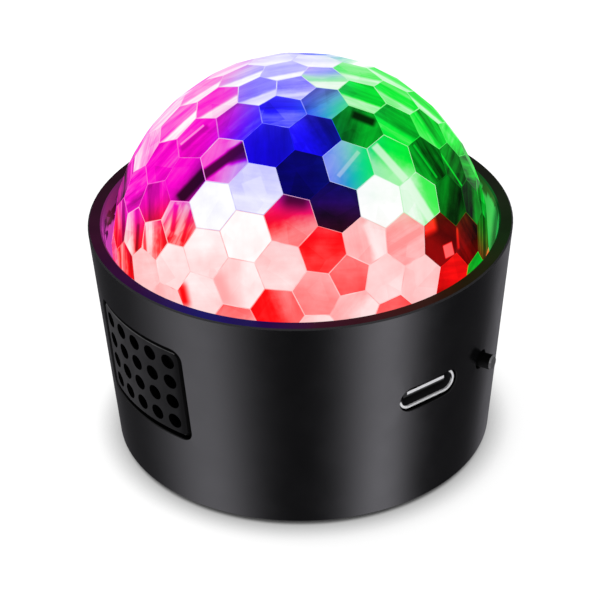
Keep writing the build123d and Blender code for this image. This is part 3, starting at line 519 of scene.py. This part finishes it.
def stroke(nodes, direction, start, end, half_width, soft):
    """1 on a square-ended bar between two directions, and 0 off it."""
    along = end - start
    away = nodes.vector("SUBTRACT", direction, start)
    share = nodes.math("DIVIDE", nodes.dot(away, along), along.dot(along))
    beside = nodes.math("ABSOLUTE", nodes.dot(direction, start.cross(end).normalized()))
    wide = nodes.step(beside, half_width * (1 + soft), half_width * (1 - soft))
    from_middle = nodes.math("ABSOLUTE", nodes.minus(share, 0.5))
    edge = half_width * soft / along.length
    return nodes.times(wide, nodes.step(from_middle, 0.5 + edge, 0.5 - edge))


def banding(nodes, own, across, soft):
    """0 at the far end of the bands to 1 at the near end, in a soft or a sharp step."""
    middle = nodes.math("MAXIMUM", nodes.math("MULTIPLY_ADD", soft, -2 * STEP_PLACE, STEP_PLACE), 0.0)
    wave = nodes.noise(nodes.scale(own, WAVE_SCALE), 1.0)
    wave = nodes.times(nodes.minus(wave, 0.5), STEP_WAVE)
    bent = nodes.math("MULTIPLY_ADD", wave, soft, across)
    reach = nodes.times(soft, STEP_REACH)
    return nodes.step(bent, nodes.minus(middle, reach), nodes.plus(middle, reach))


def streaking(nodes, across, along, shift, streaks):
    """Streaks along the bands."""
    drawn = nodes.join(nodes.times(across, STREAKS_ACROSS), nodes.times(along, STREAKS_ALONG), 0.0)
    streak = nodes.noise(nodes.vector("ADD", drawn, shift), 1.0, 4.0, 0.6)
    level = nodes.times(streaks, STREAK_LEVEL)
    return nodes.times(nodes.minus(streak, 0.5), level)


def patching(nodes, across, along, shift, streaks, lightness):
    """Lightness with broken patches, as a facet shows a part of the facets behind it."""
    place = nodes.vector("ADD", nodes.join(across, along, 0.0), shift)
    patch = nodes.cells(place, PATCH_SCALE)
    change = nodes.minus(nodes.axes(patch["Color"])[0], 0.5)
    level = nodes.math("MULTIPLY_ADD", streaks, PATCH_GAIN, PATCH_LEVEL)
    return nodes.math("MULTIPLY_ADD", change, level, lightness)


def with_strokes(nodes, own, lightness):
    """Lightness with the bars laid over it, each on its own facet."""
    facing = facet_value(nodes, "facing")
    for azimuth, elevation, *ends, width, level, cover, side in STROKES:
        towards = nodes.dot(facing, spot(azimuth, elevation))
        here = nodes.math("GREATER_THAN", towards, SAME_FACET)
        bar = stroke(nodes, own, spot(*ends[:2]), spot(*ends[2:]), math.radians(width), side)
        share = nodes.times(nodes.times(bar, cover), here)
        lightness = nodes.between(share, lightness, level)
    return lightness


def painted_glow(nodes, lightness, roughness):
    """Glossy material with a painted glow in the hue of the light behind it."""
    return principled(
        nodes, (0.002, 0.002, 0.002), roughness, Specular_IOR_Level=0.06,
        Emission_Color=lit_colour(nodes, facet_hue(nodes), lightness), Emission_Strength=1.0)


def facet_material():
    """A facet passes on the light of the LEDs, here as a painted glow: a smooth field of colour,
    lighter or darker from facet to facet, with bands and streaks where the facet bends what is
    behind it."""
    nodes, place = new_material("dome_facets")
    own = direction_of(nodes, place)
    near, far, seed = nodes.axes(facet_value(nodes, "light"))
    streaks, soft, _ = nodes.axes(facet_value(nodes, "finish"))
    across, along = (
        nodes.math("DIVIDE", nodes.dot(own, facet_value(nodes, way)), FACET_HALF_WIDTH)
        for way in ("across", "along"))
    shift = nodes.scale(STREAK_SHIFT, seed)
    lightness = nodes.between(banding(nodes, own, across, soft), far, near)
    lightness = nodes.plus(lightness, streaking(nodes, across, along, shift, streaks))
    lightness = patching(nodes, across, along, shift, streaks, lightness)
    haze = nodes.minus(nodes.noise(own, HAZE_SCALE, 3.0), 0.5)
    lightness = nodes.math("MULTIPLY_ADD", haze, HAZE_LEVEL, lightness, clamp=True)
    lightness = with_strokes(nodes, own, lightness)
    return painted_glow(nodes, lightness, 0.08)


def facet_edge_material():
    """Rounded edge between facets, with a painted glow: cream between coloured facets, a little
    darker than white ones, and lost between dark ones."""
    nodes, place = new_material("dome_edges")
    near, far, _ = nodes.axes(facet_value(nodes, "light"))
    mean = nodes.times(nodes.plus(near, far), 0.5)
    level = nodes.axes(grey(nodes, mean, EDGE_LEVELS))[0]
    haze = nodes.minus(nodes.noise(direction_of(nodes, place), EDGE_HAZE_SCALE), 0.5)
    lightness = nodes.math("MULTIPLY_ADD", haze, EDGE_HAZE_LEVEL, level, clamp=True)
    return painted_glow(nodes, lightness, 0.1)


def row_for(table, direction):
    """What a table says of the facet that faces a direction, if it has a row for it."""
    nearest = max(table, key=lambda row: direction.dot(spot(*row[:2])))
    return nearest[2:] if direction.dot(spot(*nearest[:2])) > SAME_FACET else None


def made_up_light(direction, own):
    """Row for a facet that the photograph doesn't show: lighter towards the top, and varied by
    a number of its own from 0 to 1."""
    far = 0.3 + 0.35 * own + 0.2 * direction.z
    near = min(1.0, far + 0.12 + 0.15 * direction.z)
    angle = -90 + 120 * (own - 0.5)
    streaks, soft = 0.25, 0.2
    return near, far, angle, streaks, soft


def mark_facets(form):
    """Gives each face its light, its lean and the directions across and along its bands."""
    light, finish, lean, facing, across, along = (
        form.faces.layers.float_vector.new("facet_" + name)
        for name in ("light", "finish", "lean", "facing", "across", "along"))
    right = Vector((1, 0, 0))
    upwards = spot(0, CAMERA_ELEVATION).cross(right)
    for face in form.faces:
        own = (face.index * GOLDEN_SHARE) % 1.0
        light_row = row_for(FACETS, face.normal) or made_up_light(face.normal, own)
        near, far, angle, streaks, soft = light_row
        aside, rise = row_for(LEANS, face.normal) or (0, 0)
        way = right * math.cos(math.radians(angle)) + upwards * math.sin(math.radians(angle))
        way = (way - face.normal * way.dot(face.normal)).normalized()
        face[light] = (near, far, own)
        face[finish] = (streaks, soft, 0.0)
        face[lean] = (math.radians(aside), math.radians(rise), 0.0)
        face[facing] = face.normal
        face[across] = way
        face[along] = face.normal.cross(way)


def make_dome():
    """The clear dome with each facet one polygon and each edge rounded."""
    mesh = frame["nodes"]["dome"].data.copy()
    mesh.name = "faceted_dome"
    mesh.attributes.remove(mesh.attributes["custom_normal"])
    give(mesh, facet_material(), facet_edge_material())
    form = bmesh.new()
    form.from_mesh(mesh)
    bmesh.ops.remove_doubles(form, verts=form.verts, dist=SAME_POINT)
    bmesh.ops.dissolve_limit(form, angle_limit=math.radians(SAME_PLANE), verts=form.verts,
                             edges=form.edges)
    mark_facets(form)
    depths = {f: f.normal.dot(f.calc_center_median() - DOME_CENTRE) for f in form.faces}
    inradius = max(depths.values())
    outer = set()
    for face, depth in depths.items():
        face.smooth = False
        if inradius - depth < FACET_DEPTH_SLACK:
            outer.add(face)
    edges = [e for e in form.edges
             if len(e.link_faces) == 2 and all(f in outer for f in e.link_faces)]
    bmesh.ops.bevel(form, geom=edges, offset=FACET_BEVEL, offset_type="OFFSET", segments=2,
                    profile=0.5, affect="EDGES", clamp_overlap=True, material=1)
    form.to_mesh(mesh)
    form.free()
    piece = bpy.data.objects.new("faceted_dome", mesh)
    bpy.context.scene.collection.objects.link(piece)
    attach(piece, "dome")
    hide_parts("dome")


# Materials of the CAD nodes
def plastic(name, colour, roughness, depth=0.00004, shine=0.5, spread=0.15):
    """Moulded plastic: a fine spark-eroded grain, faint flow marks and uneven gloss."""
    nodes, place = new_material(name)
    flow = nodes.noise(place, 90.0, 3.0)
    uneven = clouds(nodes, place, 260.0, roughness * 0.85, roughness * 1.15, 4.0)
    return principled(
        nodes, shades(nodes, flow, colour, spread), uneven, Specular_IOR_Level=shine,
        Normal=grain(nodes, place, depth))


def metal(name, colour, roughness, stretch=(1, 1, 1), scratch=0.3):
    """Metal with fine scratches, drawn out along the axis where stretch is small, and a gloss
    that is a little duller in patches."""
    nodes, place = new_material(name)
    lines = nodes.noise(nodes.vector("MULTIPLY", place, stretch), SCRATCH_SCALE)
    cloud = nodes.noise(place, 350.0, 3.0)
    dull = nodes.step(cloud, 0.35, 0.7, roughness * 0.8, roughness * 1.3)
    return principled(
        nodes, shades(nodes, lines, colour, 0.12), dull, Metallic=1.0,
        Normal=bump(nodes, lines, 0.00001, scratch))


def turned_metal(name, colour, roughness):
    """Metal turned on the upright axis: rings round it, and a light stain."""
    nodes, place = new_material(name)
    rings = nodes.noise(nodes.join(nodes.radius(place), nodes.axes(place)[2], 0.0), 6000.0, 1.0)
    cloud = nodes.noise(place, 500.0, 3.0)
    return principled(
        nodes, shades(nodes, cloud, colour, 0.15),
        nodes.step(cloud, *NOISE_RANGE, roughness * 0.8, roughness * 1.25), Metallic=1.0,
        Normal=bump(nodes, rings, 0.00001, 0.3))


def rubber(name, colour):
    """Matt rubber with a fine pitted skin and specks of dust."""
    nodes, place = new_material(name)
    pits = nodes.noise(place, 2600.0, 3.0)
    dust = nodes.step(nodes.noise(place, 1500.0, 1.0), 0.7, 0.78)
    dusty = [c + 0.02 for c in colour]
    return principled(
        nodes, nodes.mix(dust, colour, dusty), 0.85, Specular_IOR_Level=0.25,
        Normal=bump(nodes, pits, 0.00004, 0.5))


def foam(name, colour):
    """Open foam: round cells with pits darkened by painted shade."""
    nodes, place = new_material(name)
    depth = nodes.cells(place, 2600.0)["Distance"]
    pit_shade = nodes.step(depth, 0.15, 0.5)
    return principled(
        nodes, nodes.mix(pit_shade, [c * 0.6 for c in colour], colour), 0.95, Specular_IOR_Level=0.1,
        Normal=bump(nodes, depth, 0.0001, 0.6))


def foil(name, colour):
    """Laminate foil round a cell: soft creases, and a dull bright skin."""
    nodes, place = new_material(name)
    crease = nodes.noise(place, 260.0, 4.0, 0.6)
    fine = nodes.noise(nodes.vector("MULTIPLY", place, (1, 0.08, 1)), 4000.0, 1.0)
    return principled(
        nodes, shades(nodes, fine, colour, 0.08), nodes.step(crease, *NOISE_RANGE, 0.28, 0.45),
        Metallic=0.9, Normal=bump(nodes, crease, 0.0003, 0.4))


def board(name, mask, trace, metal_colour):
    """Printed board: glossy mask over slightly lighter traces, with small plated vias whose holes are painted dark
    as shade.
    """
    nodes, place = new_material(name)
    bent = nodes.vector("ADD", place, nodes.scale(nodes.add("TexNoise", inputs={
        "Vector": place, "Scale": 120.0, "Detail": 0.0}).outputs["Color"], 0.004))
    lanes = nodes.add("TexBrick", {"offset": 0.37}, {
        "Vector": bent, "Scale": 1.0, "Mortar Size": 0.00012, "Mortar Smooth": 0.2,
        "Brick Width": 0.0042, "Row Height": 0.0011})
    from_dot = nodes.cells(place, 330.0)["Distance"]
    via = nodes.step(from_dot, 0.13, 0.11)
    hole = nodes.step(from_dot, 0.06, 0.05)
    skin = nodes.mix(lanes.outputs["Fac"], mask, trace)
    skin = nodes.mix(via, skin, metal_colour)
    skin = nodes.mix(hole, skin, (0.01, 0.01, 0.01))
    raised = nodes.plus(lanes.outputs["Fac"], via)
    return principled(
        nodes, skin, nodes.between(via, 0.28, 0.4), Normal=bump(nodes, raised, 0.00003, 0.4))


def lit_package(name, colour):
    """Clear lens of an emitter, which glows a little unevenly."""
    nodes, place = new_material(name)
    level = nodes.step(nodes.noise(place, 1800.0), 0.2, 0.8, 1.2, 2.2)
    return principled(
        nodes, (0.6, 0.6, 0.6), 0.2, Emission_Color=nodes.scale(colour, level), Emission_Strength=1.0)


def dress(node, *materials):
    """Gives a node these materials, and gives back its faces, which start with the first."""
    mesh = frame["nodes"][node].data
    give(mesh, *materials)
    return mesh.polygons


def outwards(face):
    """How far a face of a part looks away from the upright axis, from -1 to 1."""
    return face.normal.dot(Vector((face.center.x, face.center.y, 0)).normalized())


def depth_at(place):
    """How far inside the outside of the cup a point is."""
    return RIM_RADIUS - CUP_TAPER * (RIM_HEIGHT - place.z) - Vector(place[:2]).length


def wall_depth(nodes, place):
    """The same, as a value in a material."""
    z = nodes.axes(place)[2]
    outside = nodes.math("MULTIPLY_ADD", z, CUP_TAPER, RIM_RADIUS - CUP_TAPER * RIM_HEIGHT)
    return nodes.minus(outside, nodes.radius(place))


def glow(nodes, place, table):
    """Colour by azimuth."""
    share = nodes.math("MULTIPLY_ADD", nodes.azimuth(place), 1 / 360, 0.5)
    return nodes.ramp(share, [((azimuth + 180) / 360, colour) for azimuth, colour in table])


def rim_material():
    """Flat of the rim: satin black with a painted glow of the colours that the dome spills on it."""
    nodes, place = new_material("rim_black")
    cloud = nodes.step(nodes.noise(place, 160.0, 3.0), 0.25, 0.75, 0.75, 1.2)
    painted_spill = nodes.scale(glow(nodes, place, RIM_GLOW), cloud)
    return principled(
        nodes, (0.002, 0.002, 0.0025), 0.4, Specular_IOR_Level=0.03, Emission_Color=painted_spill,
        Emission_Strength=1.0, Normal=grain(nodes, place, 0.000006))


def inner_wall_material():
    """Inside of the cup: glossy black with a painted reflection of the lit facets, in broken patches."""
    nodes, place = new_material("inner_wall_black")
    cell = nodes.cells(place, 700.0)
    x, _, z = nodes.axes(place)
    jag = nodes.times(nodes.axes(cell["Color"])[0], WALL_JAG)
    depth = nodes.minus(nodes.plus(jag, RIM_HEIGHT - WALL_JAG / 2), z)
    depth = nodes.math("DIVIDE", depth, WALL_DEPTH)
    level = nodes.mix(nodes.math("GREATER_THAN", x, 0.0), grey(nodes, depth, WALL_LEFT),
                      grey(nodes, depth, WALL_RIGHT))
    painted_reflection = nodes.vector("MULTIPLY", glow(nodes, place, WALL_GLOW), level)
    return principled(
        nodes, (0.003, 0.003, 0.003), 0.12, Specular_IOR_Level=0.03, Emission_Color=painted_reflection,
        Emission_Strength=1.0)


def cut_material():
    """Cut through the wall of the cup: painted shade makes it black, but for a painted highlight line at the
    outside.
    """
    nodes, place = new_material("cup_cut_shade_and_highlight")
    deep = nodes.step(wall_depth(nodes, place), CUT_LINE * 0.7, CUT_LINE * 1.3)
    return principled(
        nodes, nodes.mix(deep, (0.03, 0.03, 0.031), (0.0012, 0.0012, 0.0013)), 0.7,
        Specular_IOR_Level=0.05, Normal=grain(nodes, place, 0.00001))


def dress_housing():
    """The cup has its outside, the flat of its rim, its inside over the LED board, its edges,
    which are painted lighter as a highlight, and the cut faces of its openings and the faces
    that look down, which take the painted shade of the cuts."""
    outside = plastic("cup_black", (0.0022, 0.0022, 0.0025), 0.2, depth=0.000006, spread=0.1)
    # The lighter edge is a painted highlight on the bevel of the rim.
    edge = plastic("cup_edge_highlight", (0.026, 0.0255, 0.028), 0.3, shine=0.4)
    materials = (outside, rim_material(), inner_wall_material(), edge, cut_material())
    for face in dress("housing", *materials):
        height, rise = face.center.z, face.normal.z
        if rise > STRAIGHT and height > RIM_HEIGHT - RIM_SLACK:
            face.material_index = 1
        elif height > LED_BOARD_TOP and outwards(face) < -PARTLY:
            face.material_index = 2
        elif rise > PARTLY and height > RIM_HEIGHT - RIM_EDGE:
            face.material_index = 3
        elif depth_at(face.center) > CUT_DEPTH or rise < -PARTLY:
            face.material_index = 4


def grille_material():
    """Face of the grille: fine grained, with painted light that makes it greyer towards its left, and painted
    shade that turns it black at its right side.
    """
    nodes, place = new_material("grille_black")
    turn = nodes.azimuth(place)
    left = nodes.step(turn, GRILLE_LEFT, GRILLE_RIGHT, 1.0, 0.0)
    unshaded = nodes.step(nodes.minus(GRILLE_RIGHT, turn), *GRILLE_SHADE)
    painted_light_tone = nodes.mix(left, (0.008, 0.008, 0.0085), (0.046, 0.045, 0.048))
    level = nodes.times(clouds(nodes, place, 300.0, 0.85, 1.15), unshaded)
    return principled(
        nodes, nodes.scale(painted_light_tone, level), 0.5, Specular_IOR_Level=0.06,
        Normal=grain(nodes, place, 0.00002, 0.3))


def painted_grille_bevel_material(face_depth):
    """Bevel of the insert: painted shade makes it black, but for a painted highlight line where it meets the face.
    """
    nodes, place = new_material("grille_edge")
    deep = nodes.minus(wall_depth(nodes, place), face_depth)
    dark = nodes.step(deep, GRILLE_LINE * 0.7, GRILLE_LINE * 1.3)
    highlight_line = nodes.scale((0.12, 0.12, 0.122), clouds(nodes, place, 500.0, 0.7, 1.2))
    return principled(
        nodes, nodes.mix(dark, highlight_line, (0.0015, 0.0015, 0.0015)), 0.5, Specular_IOR_Level=0.05)


def dress_grille():
    """The insert has its face, its bevel, which painted shade makes all black at the right, and its holes, painted
    black as shade.
    """
    face_depth = min(depth_at(v.co) for v in frame["nodes"]["sound_grille"].data.vertices)
    far_edge = plastic("grille_edge_shade", (0.0015, 0.0015, 0.0015), 0.5, shine=0.05)
    hole = plastic("grille_hole_shade", (0.001, 0.001, 0.001), 0.8, shine=0.03)
    materials = (grille_material(), painted_grille_bevel_material(face_depth), far_edge, hole)
    for face in dress("sound_grille", *materials):
        out = outwards(face)
        right = Vector((-face.center.y, face.center.x, 0)).normalized()
        if out < PARTLY:
            face.material_index = 3
        elif out < STRAIGHT:
            face.material_index = 2 if face.normal.dot(right) > BEVEL_SIDE else 1


def inlet_place(nodes, place, middle, axis):
    """How far to the right, out and up from a middle a place is, as seen from outside."""
    away = nodes.vector("SUBTRACT", place, middle)
    aside = nodes.dot(away, (-axis.y, axis.x, 0))
    return aside, nodes.dot(away, axis), nodes.axes(away)[2]


def inlet_mouth_material(middle, axis):
    """Nickel rim of the inlet: a painted reflection makes it bright where it looks down into the
    light, and painted shade makes it dark above a line that rises to the right."""
    nodes, place = new_material("inlet_nickel")
    aside, _, rise = inlet_place(nodes, place, middle, axis)
    over = nodes.minus(rise, nodes.math("MULTIPLY_ADD", aside, MOUTH_SLOPE, MOUTH_LINE))
    lines = nodes.noise(place, SCRATCH_SCALE)
    painted_highlight = shades(nodes, lines, (0.92, 0.92, 0.94), 0.05)
    dark = nodes.step(over, -MOUTH_SOFT, MOUTH_SOFT)
    return principled(
        nodes, nodes.mix(dark, painted_highlight, (0.006, 0.006, 0.006)), 0.3, Metallic=0.15,
        Normal=bump(nodes, lines, 0.00001, 0.1))


def inlet_inside_material(middle, axis):
    """Inside of the inlet's shell: nickel painted dark as shade, with a painted highlight on a lip at the lower
    side of its mouth.
    """
    nodes, place = new_material("inlet_inside")
    _, out, rise = inlet_place(nodes, place, middle, axis)
    lip_highlight = nodes.step(out, -MOUTH_LIP * 1.2, -MOUTH_LIP * 0.8)
    below = nodes.step(rise, 0.0, -2 * MOUTH_SOFT)
    lines = nodes.noise(nodes.vector("MULTIPLY", place, (1, 1, 0.1)), SCRATCH_SCALE)
    dark = shades(nodes, lines, (0.03, 0.03, 0.033), 0.2)
    colour = nodes.mix(nodes.times(lip_highlight, below), dark, (0.9, 0.9, 0.92))
    return principled(
        nodes, colour, 0.4, Metallic=0.15, Specular_IOR_Level=0.1,
        Normal=bump(nodes, lines, 0.00001, 0.1))


def tongue_tip_material(middle, axis):
    """Tip of the tongue: painted bright, as a highlight, above a line and right of its left end, as the light
    falls in.
    """
    nodes, place = new_material("tongue_tip")
    aside, _, rise = inlet_place(nodes, place, middle, axis)
    above = nodes.step(rise, TIP_LINE - TIP_LINE_SOFT, TIP_LINE + TIP_LINE_SOFT)
    inward = nodes.step(aside, TIP_LEFT - TIP_LEFT_SOFT, TIP_LEFT + TIP_LEFT_SOFT)
    painted_highlight = shades(nodes, nodes.noise(place, SCRATCH_SCALE), (0.9, 0.9, 0.92), 0.05)
    colour = nodes.mix(nodes.times(above, inward), (0.006, 0.006, 0.006), painted_highlight)
    return principled(nodes, colour, 0.3, Metallic=0.15)


def dress_inlet():
    """The shell has its rim and the rest, and the tongue its tip and the rest."""
    mount = named(frame["record"]["mounts"], "usb_c_inlet")
    axis = Vector(mount["axis"])
    middle = Vector(mount["pos_m"])
    inside = inlet_inside_material(middle, axis)
    for face in dress("usb_shell", inlet_mouth_material(middle, axis), inside):
        face.material_index = 0 if face.normal.dot(axis) > STRAIGHT else 1
    low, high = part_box("usb_tongue")
    tip = tongue_tip_material(Vector((middle.x, middle.y, (low.z + high.z) / 2)), axis)
    body = plastic("tongue_black", (0.008, 0.008, 0.008), 0.5)
    reach = max(v.co.dot(axis) for v in frame["nodes"]["usb_tongue"].data.vertices)
    for face in dress("usb_tongue", body, tip):
        if face.center.dot(axis) > reach - TIP_DEPTH and face.normal.dot(axis) > STRAIGHT:
            face.material_index = 1


def dress_button():
    """The button has its side, its end, painted lighter as lit, and the upper half of its end's bevel, which is
    lit, as a painted highlight.
    """
    side = plastic("button_black", (0.0015, 0.0015, 0.0016), 0.45, shine=0.15)
    end = plastic("button_end_lit", (0.07, 0.069, 0.072), 0.4, shine=0.4)
    edge = plastic("button_edge_highlight", (0.16, 0.16, 0.165), 0.3)
    axis = -Vector(named(frame["joints"], "button_press")["axis"])
    for face in dress("mode_button", side, end, edge):
        out = face.normal.dot(axis)
        if face.center.dot(axis) > RIM_RADIUS - BUTTON_ROOT and out > PARTLY:
            face.material_index = 2 if out < STRAIGHT and face.normal.z > BEVEL_SIDE else 1


def dress_led(node, colour):
    """White package with a lit lens on top."""
    white = plastic(node + "_package", (0.75, 0.75, 0.73), 0.4, spread=0.05)
    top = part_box(node)[1].z
    for face in dress(node, white, lit_package(node + "_lens", colour)):
        if face.center.z > top - LENS_HEIGHT and face.normal.z > PARTLY:
            face.material_index = 1


def dress_nodes():
    dress_housing()
    dress_grille()
    dress_inlet()
    dress_button()
    dress_led("led_red", (1.0, 0.06, 0.03))
    dress_led("led_green", (0.05, 1.0, 0.12))
    dress_led("led_blue", (0.08, 0.12, 1.0))
    white = plastic("moulded_white", (0.78, 0.78, 0.76), 0.38, spread=0.05)
    steel = turned_metal("steel_plate", (0.62, 0.62, 0.64), 0.3)
    zinc = metal("screw_zinc", (0.6, 0.6, 0.62), 0.32)
    gold = metal("gold_plate", (0.85, 0.62, 0.24), 0.22, (1, 1, 0.1), 0.12)
    dark = plastic("chip_epoxy", (0.022, 0.022, 0.022), 0.55, depth=0.00006)
    black_rubber = rubber("black_rubber", (0.018, 0.018, 0.018))
    plain = {
        "base_cover": plastic("cover_black", (0.012, 0.012, 0.013), 0.5, depth=0.00008),
        "base_screws": metal("screw_black", (0.05, 0.05, 0.052), 0.38),
        "rubber_feet": black_rubber, "microphone_boot": black_rubber,
        "battery_pad": foam("pad_foam", (0.72, 0.72, 0.7)),
        "battery": foil("cell_foil", (0.72, 0.72, 0.74)),
        "main_board": board("mask_green", (0.012, 0.12, 0.04), (0.03, 0.2, 0.075), (0.7, 0.68, 0.6)),
        "led_board": board("mask_white", (0.84, 0.84, 0.82), (0.74, 0.75, 0.74), (0.75, 0.72, 0.6)),
        "main_board_screws": zinc, "led_board_screws": zinc, "gearbox_screws": zinc,
        "carrier_screws": zinc, "usb_contacts": gold, "pin_header": gold,
        "board_chips": dark, "header_block": dark, "switch_body": dark,
        "switch_plunger": plastic("plunger_black", (0.03, 0.03, 0.03), 0.4),
        "microphone": turned_metal("can_aluminium", (0.76, 0.76, 0.77), 0.28),
        "motor_can": steel, "output_shaft": steel,
        "gearbox_case": white, "dome_carrier": white,
    }
    for node, material in plain.items():
        dress(node, material)


# Studio
def make_floor():
    """White floor. Close to the object it darkens softly, as in its contact shadow."""
    bpy.ops.mesh.primitive_plane_add(size=FLOOR_SIZE, location=(0, 0, FLOOR_HEIGHT))
    floor = bpy.context.object
    floor.name = "floor"
    nodes = Nodes(bpy.data.materials.new("floor_white"))
    open_sky = nodes.add("AmbientOcclusion", {"samples": 16}, {"Distance": SHADOW_REACH})
    shade = grey(nodes, open_sky.outputs["AO"], FLOOR_SHADE)
    base = nodes.add("BsdfDiffuse", inputs={"Color": nodes.scale(shade, FLOOR_COLOUR)})
    own = nodes.add("Emission", inputs={"Color": shade, "Strength": FLOOR_OWN_LIGHT})
    both = nodes.add("AddShader", inputs={0: base.outputs[0], 1: own.outputs[0]})
    nodes.add("OutputMaterial", inputs={"Surface": both.outputs[0]})
    give(floor.data, nodes.owner)
    floor.visible_glossy = False


def strip(nodes, turn, azimuth, strength, left, right):
    """Soft strip of light at an azimuth, with its own width to the left and right."""
    away = nodes.minus(turn, azimuth)
    side = nodes.math("GREATER_THAN", away, 0.0)
    share = nodes.math("DIVIDE", away, nodes.between(side, left, right))
    bell = nodes.math("EXPONENT", nodes.times(nodes.times(share, share), -1.0))
    return nodes.times(bell, strength)


def make_world():
    """White to the camera, even soft light on surfaces, and tall soft strips for gloss."""
    world = bpy.data.worlds.new("studio")
    bpy.context.scene.world = world
    nodes = Nodes(world)
    way = nodes.add("TexCoord").outputs["Generated"]
    turn = nodes.azimuth(way)
    gloss = GLOSS_LEVEL
    for row in GLOSS_STRIPS:
        gloss = nodes.plus(gloss, strip(nodes, turn, *row))
    fade = nodes.step(nodes.axes(way)[2], *GLOSS_FADE, 1.0, GLOSS_ABOVE)
    gloss = nodes.times(gloss, fade)
    path = nodes.add("LightPath")
    strength = nodes.between(path.outputs["Is Glossy Ray"], SOFT_LIGHT, gloss)
    strength = nodes.between(path.outputs["Is Camera Ray"], strength, 1.0)
    tint = nodes.mix(path.outputs["Is Glossy Ray"], (1, 1, 1), GLOSS_TINT)
    shine = nodes.add("Background", inputs={"Color": tint, "Strength": strength})
    nodes.add("OutputWorld", inputs={"Surface": shine.outputs[0]})


def make_lamp():
    """Soft key light from the upper left; it only lights, and shows in no gloss."""
    data = bpy.data.lights.new("key", "AREA")
    data.shape = "DISK"
    data.size = KEY_SIZE
    data.energy = KEY_POWER
    lamp = bpy.data.objects.new("key", data)
    bpy.context.scene.collection.objects.link(lamp)
    lamp.location = spot(*KEY_DIRECTION) * KEY_DISTANCE
    lamp.rotation_mode = "QUATERNION"
    lamp.rotation_quaternion = (-lamp.location).to_track_quat("-Z", "Y")
    lamp.visible_glossy = False


place_camera()
make_dome()
dress_nodes()
make_floor()
make_world()
make_lamp()
bpy.context.scene.view_settings.view_transform = "Standard"
